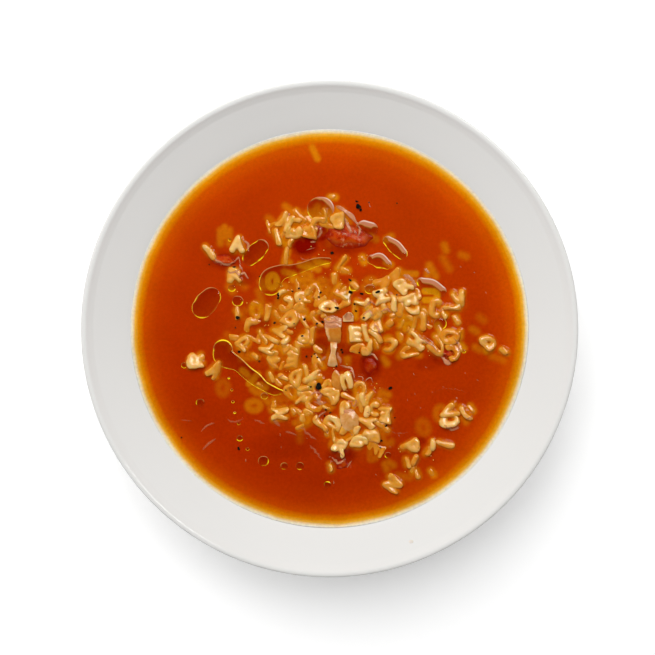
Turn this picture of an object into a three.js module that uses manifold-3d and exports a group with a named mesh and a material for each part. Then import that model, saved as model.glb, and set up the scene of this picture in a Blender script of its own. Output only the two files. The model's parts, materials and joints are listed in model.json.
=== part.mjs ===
// A white porcelain soup bowl of tomato broth with alphabet pasta, tomato, onion and olive oil.
// Millimetres, +Z up. The origin is the middle of the foot ring's underside, where the bowl stands.
import * as THREE from "three";
import { mergeVertices } from "three/addons/utils/BufferGeometryUtils.js";
import Module from "manifold-3d";

const wasm = await Module();
wasm.setup();

// ---- driving dimensions ----
const TURN_SIDES = 48; // sides of every turned surface, shared by the bowl and the soup so that they nest
const GAP = 0.35; // clearance between a piece and whatever it sits in
const MERGE = 1e-4; // vertices closer than this are one

const RIM_RADIUS = 115;
const BOWL_HEIGHT = 42;
const FLOOR_TOP = 8.2; // inside of the bowl at its middle
const FLOOR_UNDER = 4; // underside at its middle
const FOOT_OUTER = 58;
const FOOT_INNER = 52;
const SOUP_LEVEL = 31.5;

// the inside of the bowl, from its floor to just under the lip: radius and height
const INSIDE = [[42, 8.5], [58, 11.3], [70, 16.6], [80, 23.2], [88, 28.7], [94, 32.3], [103, 36.6], [109.6, 39.8]];
const INSIDE_STEPS = 8;
// the outside, from the foot ring to just under the lip
const OUTSIDE = [[58.8, 1.2], [61.5, 5], [70, 9.8], [80, 16.8], [89, 23.6], [98, 29.2], [107, 34.2], [112.6, 37.8]];
const OUTSIDE_STEPS = 6;
const LIP = [[114.6, 39.8], [RIM_RADIUS, 41], [114.2, BOWL_HEIGHT], [112.6, 41.8]];

// ---- pasta letters ----
const LETTER_HEIGHT = 8.2; // over the strokes, as cooked
const LETTER_WIDTH = 6.4;
const STROKE = 2.3; // width of a stroke
const THICKNESS = 1.9;
const END_OVERLAP = 0.7; // how much longer a straight stroke is than its line, over the stroke's width
const ARC_STEP = 60; // degrees a facet of a curved stroke turns
const HOLE_LEAST = 0.25; // radius that the inside of a curved stroke never goes under

// Each letter in a unit square: a line is x, y to x, y; an arc is middle x, y, radii and its two angles.
const line = (x0, y0, x1, y1) => ({ line: [x0, y0, x1, y1] });
const arc = (x, y, rx, ry, from, to) => ({ arc: [x, y, rx, ry, from, to] });
const ALPHABET = {
  A: [line(0, 0, 0.5, 1), line(0.5, 1, 1, 0), line(0.25, 0.4, 0.75, 0.4)],
  B: [line(0, 0, 0, 1), arc(0.2, 0.75, 0.6, 0.25, 90, -90), arc(0.2, 0.25, 0.8, 0.25, 90, -90)],
  C: [arc(0.55, 0.5, 0.5, 0.5, 55, 305)],
  D: [line(0, 0, 0, 1), arc(0.1, 0.5, 0.85, 0.5, 95, -95)],
  E: [line(0, 0, 0, 1), line(0, 1, 0.9, 1), line(0, 0.5, 0.8, 0.5), line(0, 0, 0.9, 0)],
  F: [line(0, 0, 0, 1), line(0, 1, 0.9, 1), line(0, 0.5, 0.7, 0.5)],
  G: [arc(0.55, 0.5, 0.5, 0.5, 55, 350), line(0.6, 0.42, 1, 0.42)],
  H: [line(0, 0, 0, 1), line(1, 0, 1, 1), line(0, 0.5, 1, 0.5)],
  I: [line(0.5, 0, 0.5, 1)],
  J: [line(0.8, 1, 0.8, 0.3), arc(0.45, 0.3, 0.35, 0.3, 0, -170)],
  K: [line(0, 0, 0, 1), line(0.1, 0.4, 0.9, 1), line(0.3, 0.6, 1, 0)],
  L: [line(0, 0, 0, 1), line(0, 0, 0.9, 0)],
  M: [line(0, 0, 0, 1), line(0, 1, 0.5, 0.4), line(0.5, 0.4, 1, 1), line(1, 1, 1, 0)],
  N: [line(0, 0, 0, 1), line(0, 1, 1, 0), line(1, 0, 1, 1)],
  O: [arc(0.5, 0.5, 0.5, 0.5, 0, 360)],
  P: [line(0, 0, 0, 1), arc(0.15, 0.72, 0.7, 0.28, 90, -90)],
  R: [line(0, 0, 0, 1), arc(0.15, 0.72, 0.7, 0.28, 90, -90), line(0.35, 0.5, 1, 0)],
  S: [arc(0.5, 0.74, 0.45, 0.26, 20, 270), arc(0.5, 0.24, 0.45, 0.26, 90, -160)],
  T: [line(0, 1, 1, 1), line(0.5, 0, 0.5, 1)],
  U: [line(0, 1, 0, 0.4), line(1, 1, 1, 0.4), arc(0.5, 0.4, 0.5, 0.4, 180, 360)],
  V: [line(0, 1, 0.5, 0), line(0.5, 0, 1, 1)],
  bit: [line(0.5, 0.28, 0.5, 0.72)], // a broken-off stroke
};

// ---- the plan of the toppings ----
// Plan positions and plan radii are in steps right of and above the bowl's middle, seen from above.
const STEP = RIM_RADIUS / 249.2;
const CORE_RISE = 0.6; // how high the core of a clump stands over the soup, before its heap
const CORE_DRAFT = 3; // how deep the core of a wide pad reaches
const CORE_SHARE = 0.5; // draft of a narrow pad over its smaller radius
const CORE_SLOPE = 0.35; // how far a pad leans in under the soup, over its radius
const PAD_SHOULDER = 0.14; // and how far over the soup
const PAD_SIDES = 8;
const LETTER_LIFT = 0.25; // how far a letter's middle lies over the core under it, before its own lift
const OWN_LIFT = 0.5; // the most that a letter's own lift adds

// One node a clump. Its core is made of pads: x, y, the two radii, and the height heaped on them.
// Its letters: which, x, y, degrees turned, own lift as a share and, where it leans, degrees of lean.
const CLUMPS = {
  pasta_raft: {
    pads: [
      [-60, -5, 42, 35, 0], [-30, -64, 34, 40, 0], [-18, 28, 32, 24, 0], [80, 6, 20, 31, 0],
      [14, 4, 38, 32, 1], [64, 33, 28, 24, 1], [24, -88, 40, 44, 1],
    ],
    letters: [
      ["I", -63, 16, -18, 0.3], ["bit", -88, -19, 60, 0.5], ["D", -40, 9, -55, 0.6], ["A", -51, -2, 85, 0.5],
      ["I", -60, -10, 75, 0.4], ["bit", -45, -13, -60, 0.5], ["V", -62, -21, -101, 0.6], ["I", 46, -8, 35, 0.2],
      ["I", -18, -7, -5, 0.3], ["L", -27, -20, -85, 0.6], ["E", -38, -32, 180, 0.6], ["F", -55, -31, 20, 0.1],
      ["bit", -47, 36, -60, 0.4], ["R", -27, 33, 100, 0.5], ["O", -1, 22, 82, 0.8], ["T", 33, 25, -115, 0.5],
      ["E", 26, -6, 0, 0.9], ["I", 36, -4, 12, 1], ["bit", 36, 12, -25, 1], ["P", 46, 4, 200, 0.4],
      ["J", 38, -19, -8, 0.5], ["bit", 46, -15, 30, 0.4], ["S", 45, 16, 80, 0.2],
      ["bit", 60, 5, -35, 0.7], ["bit", 72, 5, -20, 0.8], ["M", 53, 33, 120, 1], ["bit", 55, 21, 20, 0.6],
      ["I", 65, 25, -14, 1], ["R", 75, 43, 40, 0.8], ["F", 79, 27, -70, 1], ["C", 83, 22, 70, 0.3],
      ["P", 80, 6, 10, 0.4], ["U", 90, 8, 160, 0.4], ["H", 88, -13, 48, 0.5], ["I", -25, -44, 25, 0.5],
      ["D", -35, -50, 160, 0.5], ["bit", -60, -48, 10, 0.2], ["K", -16, -52, -60, 0.6], ["R", -26, -70, -100, 0.7],
      ["I", -26, -59, 88, 0.4], ["M", -51, -86, -80, 0.6], ["S", -23, -89, -35, 0.6],
      ["I", 15, -53, 13, 1], ["D", 20, -52, 4, 0.7, 35], ["B", 2, -66, 40, 0.5], ["J", 16, -82, 178, 0.5],
      ["V", 37, -72, -5, 0.4], ["bit", 38, -84, -25, 0.9], ["C", 46, -80, -12, 0.6], ["E", 55, -87, 178, 0.9],
      ["A", 38, -94, 75, 0.7], ["D", 4, -95, 60, 0.6], ["I", -9, -96, 45, 0.3], ["B", 41, -107, 95, 0.9],
      ["G", 29, -114, -60, 0.7], ["R", 12, -120, -45, 1], ["U", 19, -105, 120, 0.5], ["bit", 28, -104, 5, 1],
    ],
  },
  pasta_top: {
    pads: [[-36, 101, 23, 15, 1], [-8, 108, 12, 10, 0], [8, 109, 9, 10, 1]],
    letters: [
      ["N", -45, 107, -35, 0.5], ["bit", -33, 108, 85, 0.6], ["E", -36, 98, 90, 0.8], ["B", -21, 98, 80, 0.7],
      ["I", -53, 93, 25, 0.5], ["B", 8, 109, 180, 0.8], ["I", -4, 113, 10, 0.4],
      ["C", -12, 106, -30, 0.4],
    ],
  },
  pasta_left_west: { pads: [[-122, 78, 6, 7, 0.4]], letters: [["I", -122, 78, 38, 0.5]] },
  pasta_left_north: { pads: [[-92, 86, 7, 8, 0.4]], letters: [["A", -92, 85, -5, 0.6]] },
  pasta_left_south: { pads: [[-96, 54, 8, 9, 0]], letters: [["R", -96, 54, 0, 0.1]] },
  pasta_right: {
    pads: [[108, 20, 8, 8, 0], [128, 24, 13, 9, 0]],
    letters: [["C", 107, 20, 0, 0.5], ["V", 131, 30, 10, 0.5], ["I", 124, 21, 88, 0.2], ["bit", 116, 16, 40, 0.6]],
  },
  pasta_right_low: {
    pads: [[125, -13, 9, 14, 0]],
    letters: [["O", 122, -8, 88, 0.4], ["bit", 132, -6, -5, 0.3], ["C", 124, -23, 190, 0.4]],
  },
  pasta_right_side: { pads: [[109, -20, 7, 8, 0]], letters: [["U", 109, -20, 35, 0.4]] },
  pasta_east: { pads: [[161, -15, 7, 7, 0]], letters: [["D", 161, -15, 20, 0.4, 25]] },
  pasta_east_edge: { pads: [[177, -23, 5, 5, 0]], letters: [["bit", 177, -23, 60, 0.3]] },
  pasta_south_east: {
    pads: [[122, -88, 9, 9, 0], [137, -85, 8, 7, 0]],
    letters: [["V", 122, -84, -60, 0.2], ["C", 122, -93, 90, 0.5], ["I", 137, -85, 42, 0.4]],
  },
  pasta_low_right: {
    pads: [[82, -122, 8, 8, 0], [83, -132, 7, 7, 0]],
    letters: [["P", 82, -121, -60, 0.4], ["bit", 86, -134, -30, 0.5], ["bit", 78, -135, 10, 0.3]],
  },
  pasta_low_edge: { pads: [[101, -121, 6, 7, 0]], letters: [["bit", 99, -124, -40, 0.5], ["bit", 104, -117, -10, 0.4]] },
  pasta_low_east: { pads: [[117, -117, 7, 6, 0]], letters: [["I", 117, -117, 75, 0.1]] },
  pasta_low: { pads: [[64, -157, 7, 8, 0]], letters: [["N", 64, -157, 60, 0.5]] },
  pasta_west: { pads: [[-136, -32, 8, 7, 0]], letters: [["R", -136, -32, 100, 0.4]] },
  pasta_west_low: { pads: [[-116, -41, 7, 8, 0]], letters: [["A", -116, -41, -30, 0.2]] },
  pasta_crumb: { pads: [[1, -140, 4, 5, 0]], letters: [["bit", 1, -140, 10, 0.2]] },
};

// plan position, plan radii along and across, degrees turned, height over the soup, depth under it
const TOMATOES = {
  tomato_top: [19, 97, 24, 11, -10, 1.8, 2.4],
  tomato_left: [-107, 69, 13, 5, -8, 1.3, 1.8],
  tomato_centre: [41, -38, 8, 12, 8, 1.3, 2.2],
  tomato_right: [119, -25, 7, 4, -25, 1.6, 1.8],
  tomato_low: [13, -137, 9, 6, 24, 1.2, 1.8],
};
// plan position, length, widths of the two ends, degrees turned, height of its crown over the soup in mm
const ONIONS = {
  onion_heart: [4, -2, 28, 18, 20, 3, 3.4],
  onion_stem: [4, -30, 16, 5, 10, -4, 3],
  onion_petal: [8, -54, 21, 9, 10, 8, 2.9],
  onion_low: [20, -92, 21, 15, 17, 4, 3.9],
  onion_small: [19, 12, 9, 8, 10, 0, 3.1],
};
const ONION_THICKNESS = 1.4;
const ONION_CURVE = 16; // radius of the onion layer that a piece is cut from
const TOMATO_FOLDS = [0.14, 0.1]; // how far the two rows of folds swell a tomato piece, over its size

// oil drops: plan position, plan radii, degrees turned
const OIL_DROPS = [
  [-75.5, 76, 14, 8, 42], [-125, 27, 15, 11, 45], [-93, 28, 5.5, 5.5, 0], [-107, -23, 11, 11, 0],
  [-58, 48, 14, 13, 30], [-20, 64, 24, 5, 14], [67, 82, 14, 6.5, -40], [50, 68, 13, 7, -15],
  [104, 43, 15, 6, -25], [38, 104, 8, 8, 0], [-9, 121, 12, 12, 0], [-68, -48, 18, 5, -38],
];
const OIL_HEIGHT = 0.8;

// ---- solids ----
const bare = (geometry) => {
  const loose = geometry.index ? geometry.toNonIndexed() : geometry.clone();
  for (const name of Object.keys(loose.attributes)) if (name !== "position") loose.deleteAttribute(name);
  return mergeVertices(loose, MERGE);
};

function solid(geometry) {
  const merged = bare(geometry);
  const all = merged.index.array;
  const kept = [];
  for (let i = 0; i < all.length; i += 3) {
    const [a, b, c] = [all[i], all[i + 1], all[i + 2]];
    if (a !== b && b !== c && a !== c) kept.push(a, b, c);
  }
  return new wasm.Manifold(
    new wasm.Mesh({ numProp: 3, vertProperties: merged.attributes.position.array, triVerts: new Uint32Array(kept) }),
  );
}

const joined = (solids) => wasm.Manifold.union(solids);

// the largest body of a solid, so that a scrap left by a cut is dropped
const largest = (s) => s.decompose().sort((a, b) => b.volume() - a.volume())[0];

function meshOf(name, s, material) {
  const made = s.getMesh();
  const geometry = new THREE.BufferGeometry();
  geometry.setAttribute("position", new THREE.BufferAttribute(made.vertProperties, 3));
  geometry.setIndex(new THREE.BufferAttribute(made.triVerts, 1));
  const mesh = new THREE.Mesh(geometry, material);
  mesh.name = name;
  return mesh;
}

const points = (pairs) => pairs.map(([x, y]) => new THREE.Vector2(x, y));
const spline = (pairs, steps) => new THREE.SplineCurve(points(pairs)).getPoints(steps);
const turned = (profile) => solid(new THREE.LatheGeometry(profile, TURN_SIDES).rotateX(Math.PI / 2));

// ---- the bowl and the soup ----
function bowl() {
  return turned([
    ...points([[0, FLOOR_UNDER], [FOOT_INNER - 3, FLOOR_UNDER - 0.4], [FOOT_INNER - 0.8, 1.2]]),
    ...points([[FOOT_INNER, 0], [FOOT_OUTER, 0]]),
    ...spline(OUTSIDE, OUTSIDE_STEPS),
    ...points(LIP),
    ...spline(INSIDE, INSIDE_STEPS).reverse(),
    new THREE.Vector2(0, FLOOR_TOP),
  ]);
}

// The soup's wetted side keeps its clearance along the normal of the bowl's inside.
function soupBody() {
  const inside = spline(INSIDE, INSIDE_STEPS);
  const side = inside.map((p, i) => {
    const next = inside[Math.min(i + 1, inside.length - 1)];
    const last = inside[Math.max(i - 1, 0)];
    const along = next.clone().sub(last).normalize();
    return new THREE.Vector2(p.x - GAP * along.y, p.y + GAP * along.x);
  });
  const above = side.findIndex((p) => p.y > SOUP_LEVEL);
  const [a, b] = [side[above - 1], side[above]];
  const edge = a.clone().lerp(b, (SOUP_LEVEL - a.y) / (b.y - a.y));
  return turned([
    new THREE.Vector2(0, FLOOR_TOP + GAP),
    ...side.slice(0, above),
    edge,
    new THREE.Vector2(0, SOUP_LEVEL),
  ]);
}

// ---- rounded lens shapes: pads of pasta, tomato and oil ----
function lens([x, y, rx, ry], turn, up, down, sides, rings, grow, ridges = () => 1) {
  const geometry = bare(new THREE.SphereGeometry(1, sides, rings).rotateX(Math.PI / 2));
  const p = geometry.attributes.position;
  for (let i = 0; i < p.count; i++) {
    const [px, py, pz] = [p.getX(i), p.getY(i), p.getZ(i)];
    const swell = ridges(px, py, pz);
    const height = (pz > 0 ? up : down) * swell + grow;
    p.setXYZ(i, px * (rx * STEP * swell + grow), py * (ry * STEP * swell + grow), pz * height);
  }
  geometry.rotateZ(THREE.MathUtils.degToRad(turn));
  return solid(geometry.translate(x * STEP, y * STEP, SOUP_LEVEL));
}

// A pad of pasta is flat above and below, and its sides lean in from the soup's surface.
function pad([x, y, rx, ry, heap], grow = 0) {
  const draft = Math.min(CORE_DRAFT, CORE_SHARE * STEP * Math.min(rx, ry)) + grow;
  const rise = CORE_RISE + heap + grow;
  const profile = points([[0, -draft], [1 - CORE_SLOPE, -draft], [1, 0], [1 - PAD_SHOULDER, rise], [0, rise]]);
  const geometry = new THREE.LatheGeometry(profile, PAD_SIDES).rotateX(Math.PI / 2);
  geometry.scale(rx * STEP + grow, ry * STEP + grow, 1);
  return solid(geometry.translate(x * STEP, y * STEP, SOUP_LEVEL));
}

function tomato([x, y, rx, ry, turn, up, down], grow = 0) {
  const [long, cross] = TOMATO_FOLDS;
  const ridges = (a, b, c) => 1 + long * Math.sin(5.1 * a + x) + cross * Math.sin(6.7 * b + 4.1 * c + y);
  return lens([x, y, rx, ry], turn, up, down, 10, 6, grow, ridges);
}

function oilDrop([x, y, rx, ry, turn], grow = 0) {
  return lens([x, y, rx, ry], turn, OIL_HEIGHT, OIL_HEIGHT, 8, 4, grow);
}

// A piece of one onion layer: a tapered patch cut from a thin ball, its crown upwards.
function onion([x, y, length, nearWidth, farWidth, turn, crown], grow = 0) {
  const ball = (radius) => solid(new THREE.SphereGeometry(radius, 20, 12));
  const layer = ball(ONION_CURVE + grow).subtract(ball(ONION_CURVE - ONION_THICKNESS - grow));
  const half = (v) => (v * STEP) / 2 + grow;
  const [end, near, far] = [half(length), half(nearWidth), half(farWidth)];
  const outline = new THREE.Shape(points([[-near, end], [-far, -end], [far, -end], [near, end]]));
  const cutter = solid(new THREE.ExtrudeGeometry(outline, { depth: 2 * ONION_CURVE, bevelEnabled: false }));
  return layer
    .intersect(cutter)
    .rotate([0, 0, turn])
    .translate([x * STEP, y * STEP, SOUP_LEVEL + crown - ONION_CURVE]);
}

// ---- letters ----
const inLetter = (x, y) => [(x - 0.5) * (LETTER_WIDTH - STROKE), (y - 0.5) * (LETTER_HEIGHT - STROKE)];

function straightStroke([x0, y0, x1, y1]) {
  const [ax, ay] = inLetter(x0, y0);
  const [bx, by] = inLetter(x1, y1);
  const length = Math.hypot(bx - ax, by - ay) + END_OVERLAP * STROKE;
  const bar = new THREE.BoxGeometry(length, STROKE, THICKNESS);
  return bar.rotateZ(Math.atan2(by - ay, bx - ax)).translate((ax + bx) / 2, (ay + by) / 2, 0);
}

function curvedStroke([x, y, rx, ry, from, to]) {
  const [mx, my] = inLetter(x, y);
  const steps = Math.ceil(Math.abs(to - from) / ARC_STEP);
  const side = (out) =>
    Array.from({ length: steps + 1 }, (_, i) => {
      const angle = THREE.MathUtils.degToRad(from + ((to - from) * i) / steps);
      const reach = (r, over) => Math.max(r * (over - STROKE) + (out * STROKE) / 2, HOLE_LEAST);
      const across = mx + reach(rx, LETTER_WIDTH) * Math.cos(angle);
      return new THREE.Vector2(across, my + reach(ry, LETTER_HEIGHT) * Math.sin(angle));
    });
  const full = Math.abs(to - from) === 360;
  const outline = new THREE.Shape(full ? side(1) : [...side(1), ...side(-1).reverse()]);
  if (full) outline.holes.push(new THREE.Path(side(-1)));
  const flat = new THREE.ExtrudeGeometry(outline, { depth: THICKNESS, bevelEnabled: false });
  return flat.translate(0, 0, -THICKNESS / 2);
}

const letterSolids = {};
function letter(name) {
  const strokes = () => ALPHABET[name].map((s) => solid(s.line ? straightStroke(s.line) : curvedStroke(s.arc)));
  letterSolids[name] ??= joined(strokes());
  return letterSolids[name];
}

// how high a clump's core stands over the soup at a place
function coreHeight(pads, x, y) {
  const heights = pads.map(([px, py, rx, ry, heap]) => {
    const out = Math.hypot((x - px) / rx, (y - py) / ry);
    return out < 1 ? CORE_RISE + heap : CORE_RISE;
  });
  return Math.max(...heights);
}

function laidLetter(pads, [name, x, y, turn, lift, lean = 0]) {
  const height = SOUP_LEVEL + coreHeight(pads, x, y) + LETTER_LIFT + OWN_LIFT * lift;
  return letter(name).rotate([0, lean, 0]).rotate([0, 0, turn]).translate([x * STEP, y * STEP, height]);
}

// ---- the whole dish ----
const material = (color, roughness) => new THREE.MeshStandardMaterial({ color, roughness, metalness: 0 });
const PORCELAIN = material(0xe4e1dc, 0.12);
const BROTH = material(0xb03a04, 0.2);
const PASTA = material(0xe9bd72, 0.4);
const TOMATO = material(0xa01808, 0.3);
const ONION = material(0xdba860, 0.3);

const allPads = Object.values(CLUMPS).flatMap((c) => c.pads);
const grown = (table, make) => joined(Object.values(table).map((row) => make(row, GAP)));
const padRoom = grown(allPads, pad);
const oilRoom = grown(OIL_DROPS, oilDrop);
const tomatoRoom = grown(TOMATOES, tomato);
const onionRoom = grown(ONIONS, onion);

// Letters stand clear of the soup, and only the pads reach into it.
const WET_DEPTH = 8;
const wet = new THREE.BoxGeometry(2 * RIM_RADIUS, 2 * RIM_RADIUS, WET_DEPTH);
const wetRegion = solid(wet.translate(0, 0, SOUP_LEVEL + GAP - WET_DEPTH / 2));

function clump({ pads, letters }, others) {
  const core = joined(pads.map((p) => pad(p)));
  const own = joined(letters.map((l) => laidLetter(pads, l))).subtract(wetRegion);
  return largest(joined([core, own]).subtract(others));
}

const soup = joined([soupBody(), ...OIL_DROPS.map((d) => oilDrop(d))])
  .subtract(padRoom)
  .subtract(tomatoRoom)
  .subtract(onionRoom);

const dish = new THREE.Group();
dish.add(meshOf("bowl", bowl(), PORCELAIN));
dish.add(meshOf("soup", largest(soup), BROTH));
const notPasta = joined([oilRoom, tomatoRoom, onionRoom]);
for (const [name, c] of Object.entries(CLUMPS)) dish.add(meshOf(name, clump(c, notPasta), PASTA));
for (const [name, t] of Object.entries(TOMATOES)) {
  dish.add(meshOf(name, largest(tomato(t).subtract(onionRoom)), TOMATO));
}
for (const [name, o] of Object.entries(ONIONS)) dish.add(meshOf(name, largest(onion(o)), ONION));

export default dish;
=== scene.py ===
import json
import math
import random

import bpy
import numpy as np
from bpy.props import FloatProperty, FloatVectorProperty, IntProperty, PointerProperty
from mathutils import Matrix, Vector

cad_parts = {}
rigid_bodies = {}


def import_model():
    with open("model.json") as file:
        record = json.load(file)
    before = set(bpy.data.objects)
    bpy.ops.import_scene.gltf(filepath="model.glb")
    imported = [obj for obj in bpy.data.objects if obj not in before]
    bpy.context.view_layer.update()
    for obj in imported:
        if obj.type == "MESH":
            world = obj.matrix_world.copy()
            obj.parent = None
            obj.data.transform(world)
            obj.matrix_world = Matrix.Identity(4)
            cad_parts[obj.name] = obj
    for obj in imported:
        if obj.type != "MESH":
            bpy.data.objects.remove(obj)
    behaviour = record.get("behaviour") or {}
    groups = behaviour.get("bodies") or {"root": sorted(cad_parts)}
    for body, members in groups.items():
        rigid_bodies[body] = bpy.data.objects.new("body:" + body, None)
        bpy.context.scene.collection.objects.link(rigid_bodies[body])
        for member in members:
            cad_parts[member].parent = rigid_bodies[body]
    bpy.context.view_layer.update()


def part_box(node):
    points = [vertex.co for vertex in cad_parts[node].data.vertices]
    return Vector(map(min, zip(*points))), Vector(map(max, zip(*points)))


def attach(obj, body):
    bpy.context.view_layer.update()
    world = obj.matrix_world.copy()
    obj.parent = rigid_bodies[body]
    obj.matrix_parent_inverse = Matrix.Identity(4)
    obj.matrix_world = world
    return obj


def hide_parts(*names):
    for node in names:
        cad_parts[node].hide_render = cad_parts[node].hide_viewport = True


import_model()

bl_info = {
    "name": "Bowl of alphabet soup",
    "version": (1, 0, 0),
    "blender": (4, 5, 0),
    "location": "3D View > Sidebar > Soup",
    "description": "Dresses the packed bowl: porcelain, broth, pasta letters, tomato, onion, oil and pepper",
    "category": "Object",
}

MM = 0.001
ROOT = "root"
RIM_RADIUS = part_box("bowl")[1].x / MM
BOWL_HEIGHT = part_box("bowl")[1].z / MM
STEP = RIM_RADIUS / 249.2  # plan positions and plan radii are in these steps from the bowl's middle

# ---- the same sizes as the solids, in mm ----
INSIDE = [
    (42, 8.5), (58, 11.3), (70, 16.6), (80, 23.2), (88, 28.7), (94, 32.3), (103, 36.6), (109.6, 39.8),
]
OUTSIDE = [
    (58.8, 1.2), (61.5, 5), (70, 9.8), (80, 16.8), (89, 23.6), (98, 29.2), (107, 34.2), (112.6, 37.8),
]
LIP = [
    (112.6, 37.8), (114.6, 39.7), (115, 41), (114.3, 41.9), (112.8, 41.8), (111.2, 40.8), (109.6, 39.8),
]
FOOT = [
    (0, 4), (40, 3.8), (49, 3.6), (50.6, 2.2), (51.6, 0.3), (52.4, 0), (57.6, 0), (58.5, 0.4),
    (58.8, 1.2),
]
FLOOR_TOP = 8.2
SOUP_LEVEL = 31.5
CORE_RISE = 0.6
LETTER_LIFT = 0.25
OWN_LIFT = 0.5
OIL_HEIGHT = 0.8

# Each letter in a unit square: a line is its two ends; an arc is its middle, two radii and two angles.
ALPHABET = {
    "A": [("line", 0, 0, 0.5, 1), ("line", 0.5, 1, 1, 0), ("line", 0.25, 0.4, 0.75, 0.4)],
    "B": [
        ("line", 0, 0, 0, 1), ("arc", 0.2, 0.75, 0.6, 0.25, 90, -90), ("arc", 0.2, 0.25, 0.8, 0.25, 90, -90),
    ],
    "C": [("arc", 0.55, 0.5, 0.5, 0.5, 55, 305)],
    "D": [("line", 0, 0, 0, 1), ("arc", 0.1, 0.5, 0.85, 0.5, 95, -95)],
    "E": [("line", 0, 0, 0, 1), ("line", 0, 1, 0.9, 1), ("line", 0, 0.5, 0.8, 0.5), ("line", 0, 0, 0.9, 0)],
    "F": [("line", 0, 0, 0, 1), ("line", 0, 1, 0.9, 1), ("line", 0, 0.5, 0.7, 0.5)],
    "G": [("arc", 0.55, 0.5, 0.5, 0.5, 55, 350), ("line", 0.6, 0.42, 1, 0.42)],
    "H": [("line", 0, 0, 0, 1), ("line", 1, 0, 1, 1), ("line", 0, 0.5, 1, 0.5)],
    "I": [("line", 0.5, 0, 0.5, 1)],
    "J": [("line", 0.8, 1, 0.8, 0.3), ("arc", 0.45, 0.3, 0.35, 0.3, 0, -170)],
    "K": [("line", 0, 0, 0, 1), ("line", 0.1, 0.4, 0.9, 1), ("line", 0.3, 0.6, 1, 0)],
    "L": [("line", 0, 0, 0, 1), ("line", 0, 0, 0.9, 0)],
    "M": [("line", 0, 0, 0, 1), ("line", 0, 1, 0.5, 0.4), ("line", 0.5, 0.4, 1, 1), ("line", 1, 1, 1, 0)],
    "N": [("line", 0, 0, 0, 1), ("line", 0, 1, 1, 0), ("line", 1, 0, 1, 1)],
    "O": [("arc", 0.5, 0.5, 0.5, 0.5, 0, 360)],
    "P": [("line", 0, 0, 0, 1), ("arc", 0.15, 0.72, 0.7, 0.28, 90, -90)],
    "R": [("line", 0, 0, 0, 1), ("arc", 0.15, 0.72, 0.7, 0.28, 90, -90), ("line", 0.35, 0.5, 1, 0)],
    "S": [("arc", 0.5, 0.74, 0.45, 0.26, 20, 270), ("arc", 0.5, 0.24, 0.45, 0.26, 90, -160)],
    "T": [("line", 0, 1, 1, 1), ("line", 0.5, 0, 0.5, 1)],
    "U": [("line", 0, 1, 0, 0.4), ("line", 1, 1, 1, 0.4), ("arc", 0.5, 0.4, 0.5, 0.4, 180, 360)],
    "V": [("line", 0, 1, 0.5, 0), ("line", 0.5, 0, 1, 1)],
    "bit": [("line", 0.5, 0.28, 0.5, 0.72)],
}

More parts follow.
